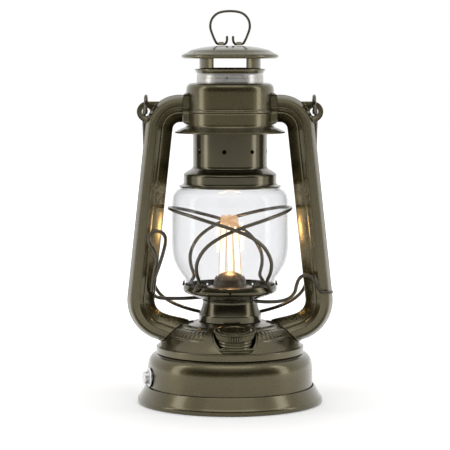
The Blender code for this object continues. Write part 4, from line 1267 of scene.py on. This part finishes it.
class LANTERN_OT_inner_parts(bpy.types.Operator):
    """Finishes of the parts inside, whose shapes come from the frame"""
    bl_idname = "lantern.inner_parts"
    bl_label = "Inner parts"

    def execute(self, context):
        black = shared("moulded_black", dull, (0.025, 0.025, 0.028), 0.48)
        board = shared("board_green", dull, (0.020, 0.105, 0.045), 0.40, 1200.0, 0.15)
        sleeve = shared("cell_film", dull, (0.050, 0.150, 0.260), 0.35, 300.0, 0.10)
        spring = shared("spring_steel", metal, (0.52, 0.52, 0.53), 0.24)
        finishes = {"battery_cell_left": sleeve, "battery_cell_right": sleeve,
                    "battery_cradle": black, "circuit_board": board, "led_lead": black,
                    "filament_holder": black, "charge_socket": black, "push_switch": black,
                    "button_spring": spring, "chimney_spring": spring}
        for name, finish in finishes.items():
            data = frame["nodes"][name].data
            data.materials.clear()
            data.materials.append(finish)
        return {"FINISHED"}


# ---------------------------------------------------------------- stage

def lamp(name, kind, place, power, size, colour=(1.0, 1.0, 1.0), aim=(0, 0, 0.14)):
    """A light of one kind at a place in metres, turned towards a point."""
    data = bpy.data.lights.new(name, kind)
    data.energy = power
    data.color = colour
    if kind == "AREA":
        data.shape = "RECTANGLE"
        data.size, data.size_y = size
    else:
        data.shadow_soft_size = size
    made = bpy.data.objects.new(name, data)
    bpy.context.scene.collection.objects.link(made)
    made.location = place
    towards = Vector([a - p for a, p in zip(aim, place)])
    made.rotation_euler = towards.to_track_quat("-Z", "Y").to_euler()
    return made


class LANTERN_OT_stage(bpy.types.Operator):
    """White floor, studio lights and the camera"""
    bl_idname = "lantern.stage"
    bl_label = "Stage"

    def execute(self, context):
        """The floor is a wide disc. Tall soft boxes stand at both sides and over the lantern.
        The world is white behind and overhead and dim in front, and a small warm light stands
        for the filaments."""
        scene = bpy.context.scene
        ring = np.concatenate([[0.0], np.geomspace(40, 6000, 60)])
        floor = turn_round(np.column_stack([ring, np.full(61, -0.2)]), 128)
        mesh = grid_mesh("floor", floor)
        mesh.materials.append(paper("studio_paper", tuple(colours().paper)))
        made = bpy.data.objects.new("Floor", mesh)
        scene.collection.objects.link(made)
        scene.view_settings.view_transform = "Standard"
        world = bpy.data.worlds.new("studio")
        world.use_nodes = True
        world.node_tree.nodes.clear()
        s = Shade(world.node_tree)
        way = s.node("TexCoord", (), (), "Generated")
        lit = s.math("MAXIMUM", s.part(way, "Y").between(-0.30, 0.45),
                     s.part(way, "Z").between(0.35, 0.85))
        room = lit.blend((0.035, 0.035, 0.037, 1.0), (1.0, 1.0, 1.0, 1.0))
        s.node("OutputWorld", (), {"Surface": s.node("Background", (), {"Color": room,
                                                                       "Strength": 1.0})})
        scene.world = world
        lamp("Soft_left", "AREA", (-0.80, -0.15, 0.35), 1.7, (0.20, 0.9))
        lamp("Soft_right", "AREA", (0.80, -0.15, 0.35), 1.7, (0.20, 0.9))
        lamp("Soft_top", "AREA", (0.0, -0.40, 0.95), 1.3, (0.9, 0.4))
        lamp("Warm", "POINT", (0.0, 0.001, 0.118), 0.22, 0.010, (1.0, 0.62, 0.28))
        view = bpy.data.cameras.new("Camera")
        view.lens, view.sensor_width = 159.6, 36.0
        view.clip_start, view.clip_end = 0.01, 50.0
        camera = bpy.data.objects.new("Camera", view)
        scene.collection.objects.link(camera)
        camera.location = (-0.00366, -1.450, 0.250)
        camera.rotation_euler = (math.radians(90 - 4.751), 0.0, 0.0)
        scene.camera = camera
        return {"FINISHED"}


OPERATORS = (LANTERN_OT_base, LANTERN_OT_drum, LANTERN_OT_dome, LANTERN_OT_filler,
             LANTERN_OT_switch, LANTERN_OT_burner, LANTERN_OT_filaments, LANTERN_OT_plate,
             LANTERN_OT_globe, LANTERN_OT_guards, LANTERN_OT_lever, LANTERN_OT_side_tubes,
             LANTERN_OT_hood, LANTERN_OT_chimney, LANTERN_OT_cap, LANTERN_OT_handle,
             LANTERN_OT_inner_parts, LANTERN_OT_stage)


class LANTERN_PT_panel(bpy.types.Panel):
    """Sizes, finishes and build steps of the lantern"""
    bl_idname = "LANTERN_PT_panel"
    bl_label = "Lantern"
    bl_space_type = "VIEW_3D"
    bl_region_type = "UI"
    bl_category = "Lantern"

    def draw(self, context):
        for heading, group in (("Sizes", context.scene.lantern_sizes),
                               ("Finishes", context.scene.lantern_colours)):
            box = self.layout.box()
            box.label(text=heading)
            for key in group.__annotations__:
                box.prop(group, key)
        for operator in OPERATORS:
            self.layout.operator(operator.bl_idname)


CLASSES = (LanternSizes, LanternColours, *OPERATORS, LANTERN_PT_panel)


def register():
    for cls in CLASSES:
        bpy.utils.register_class(cls)
    bpy.types.Scene.lantern_sizes = PointerProperty(type=LanternSizes)
    bpy.types.Scene.lantern_colours = PointerProperty(type=LanternColours)


def unregister():
    del bpy.types.Scene.lantern_sizes
    del bpy.types.Scene.lantern_colours
    for cls in reversed(CLASSES):
        bpy.utils.unregister_class(cls)


def main():
    """Builds every piece in order."""
    register()
    for operator in OPERATORS:
        getattr(bpy.ops.lantern, operator.bl_idname.split(".")[1])()


if __name__ == "__main__":
    main()
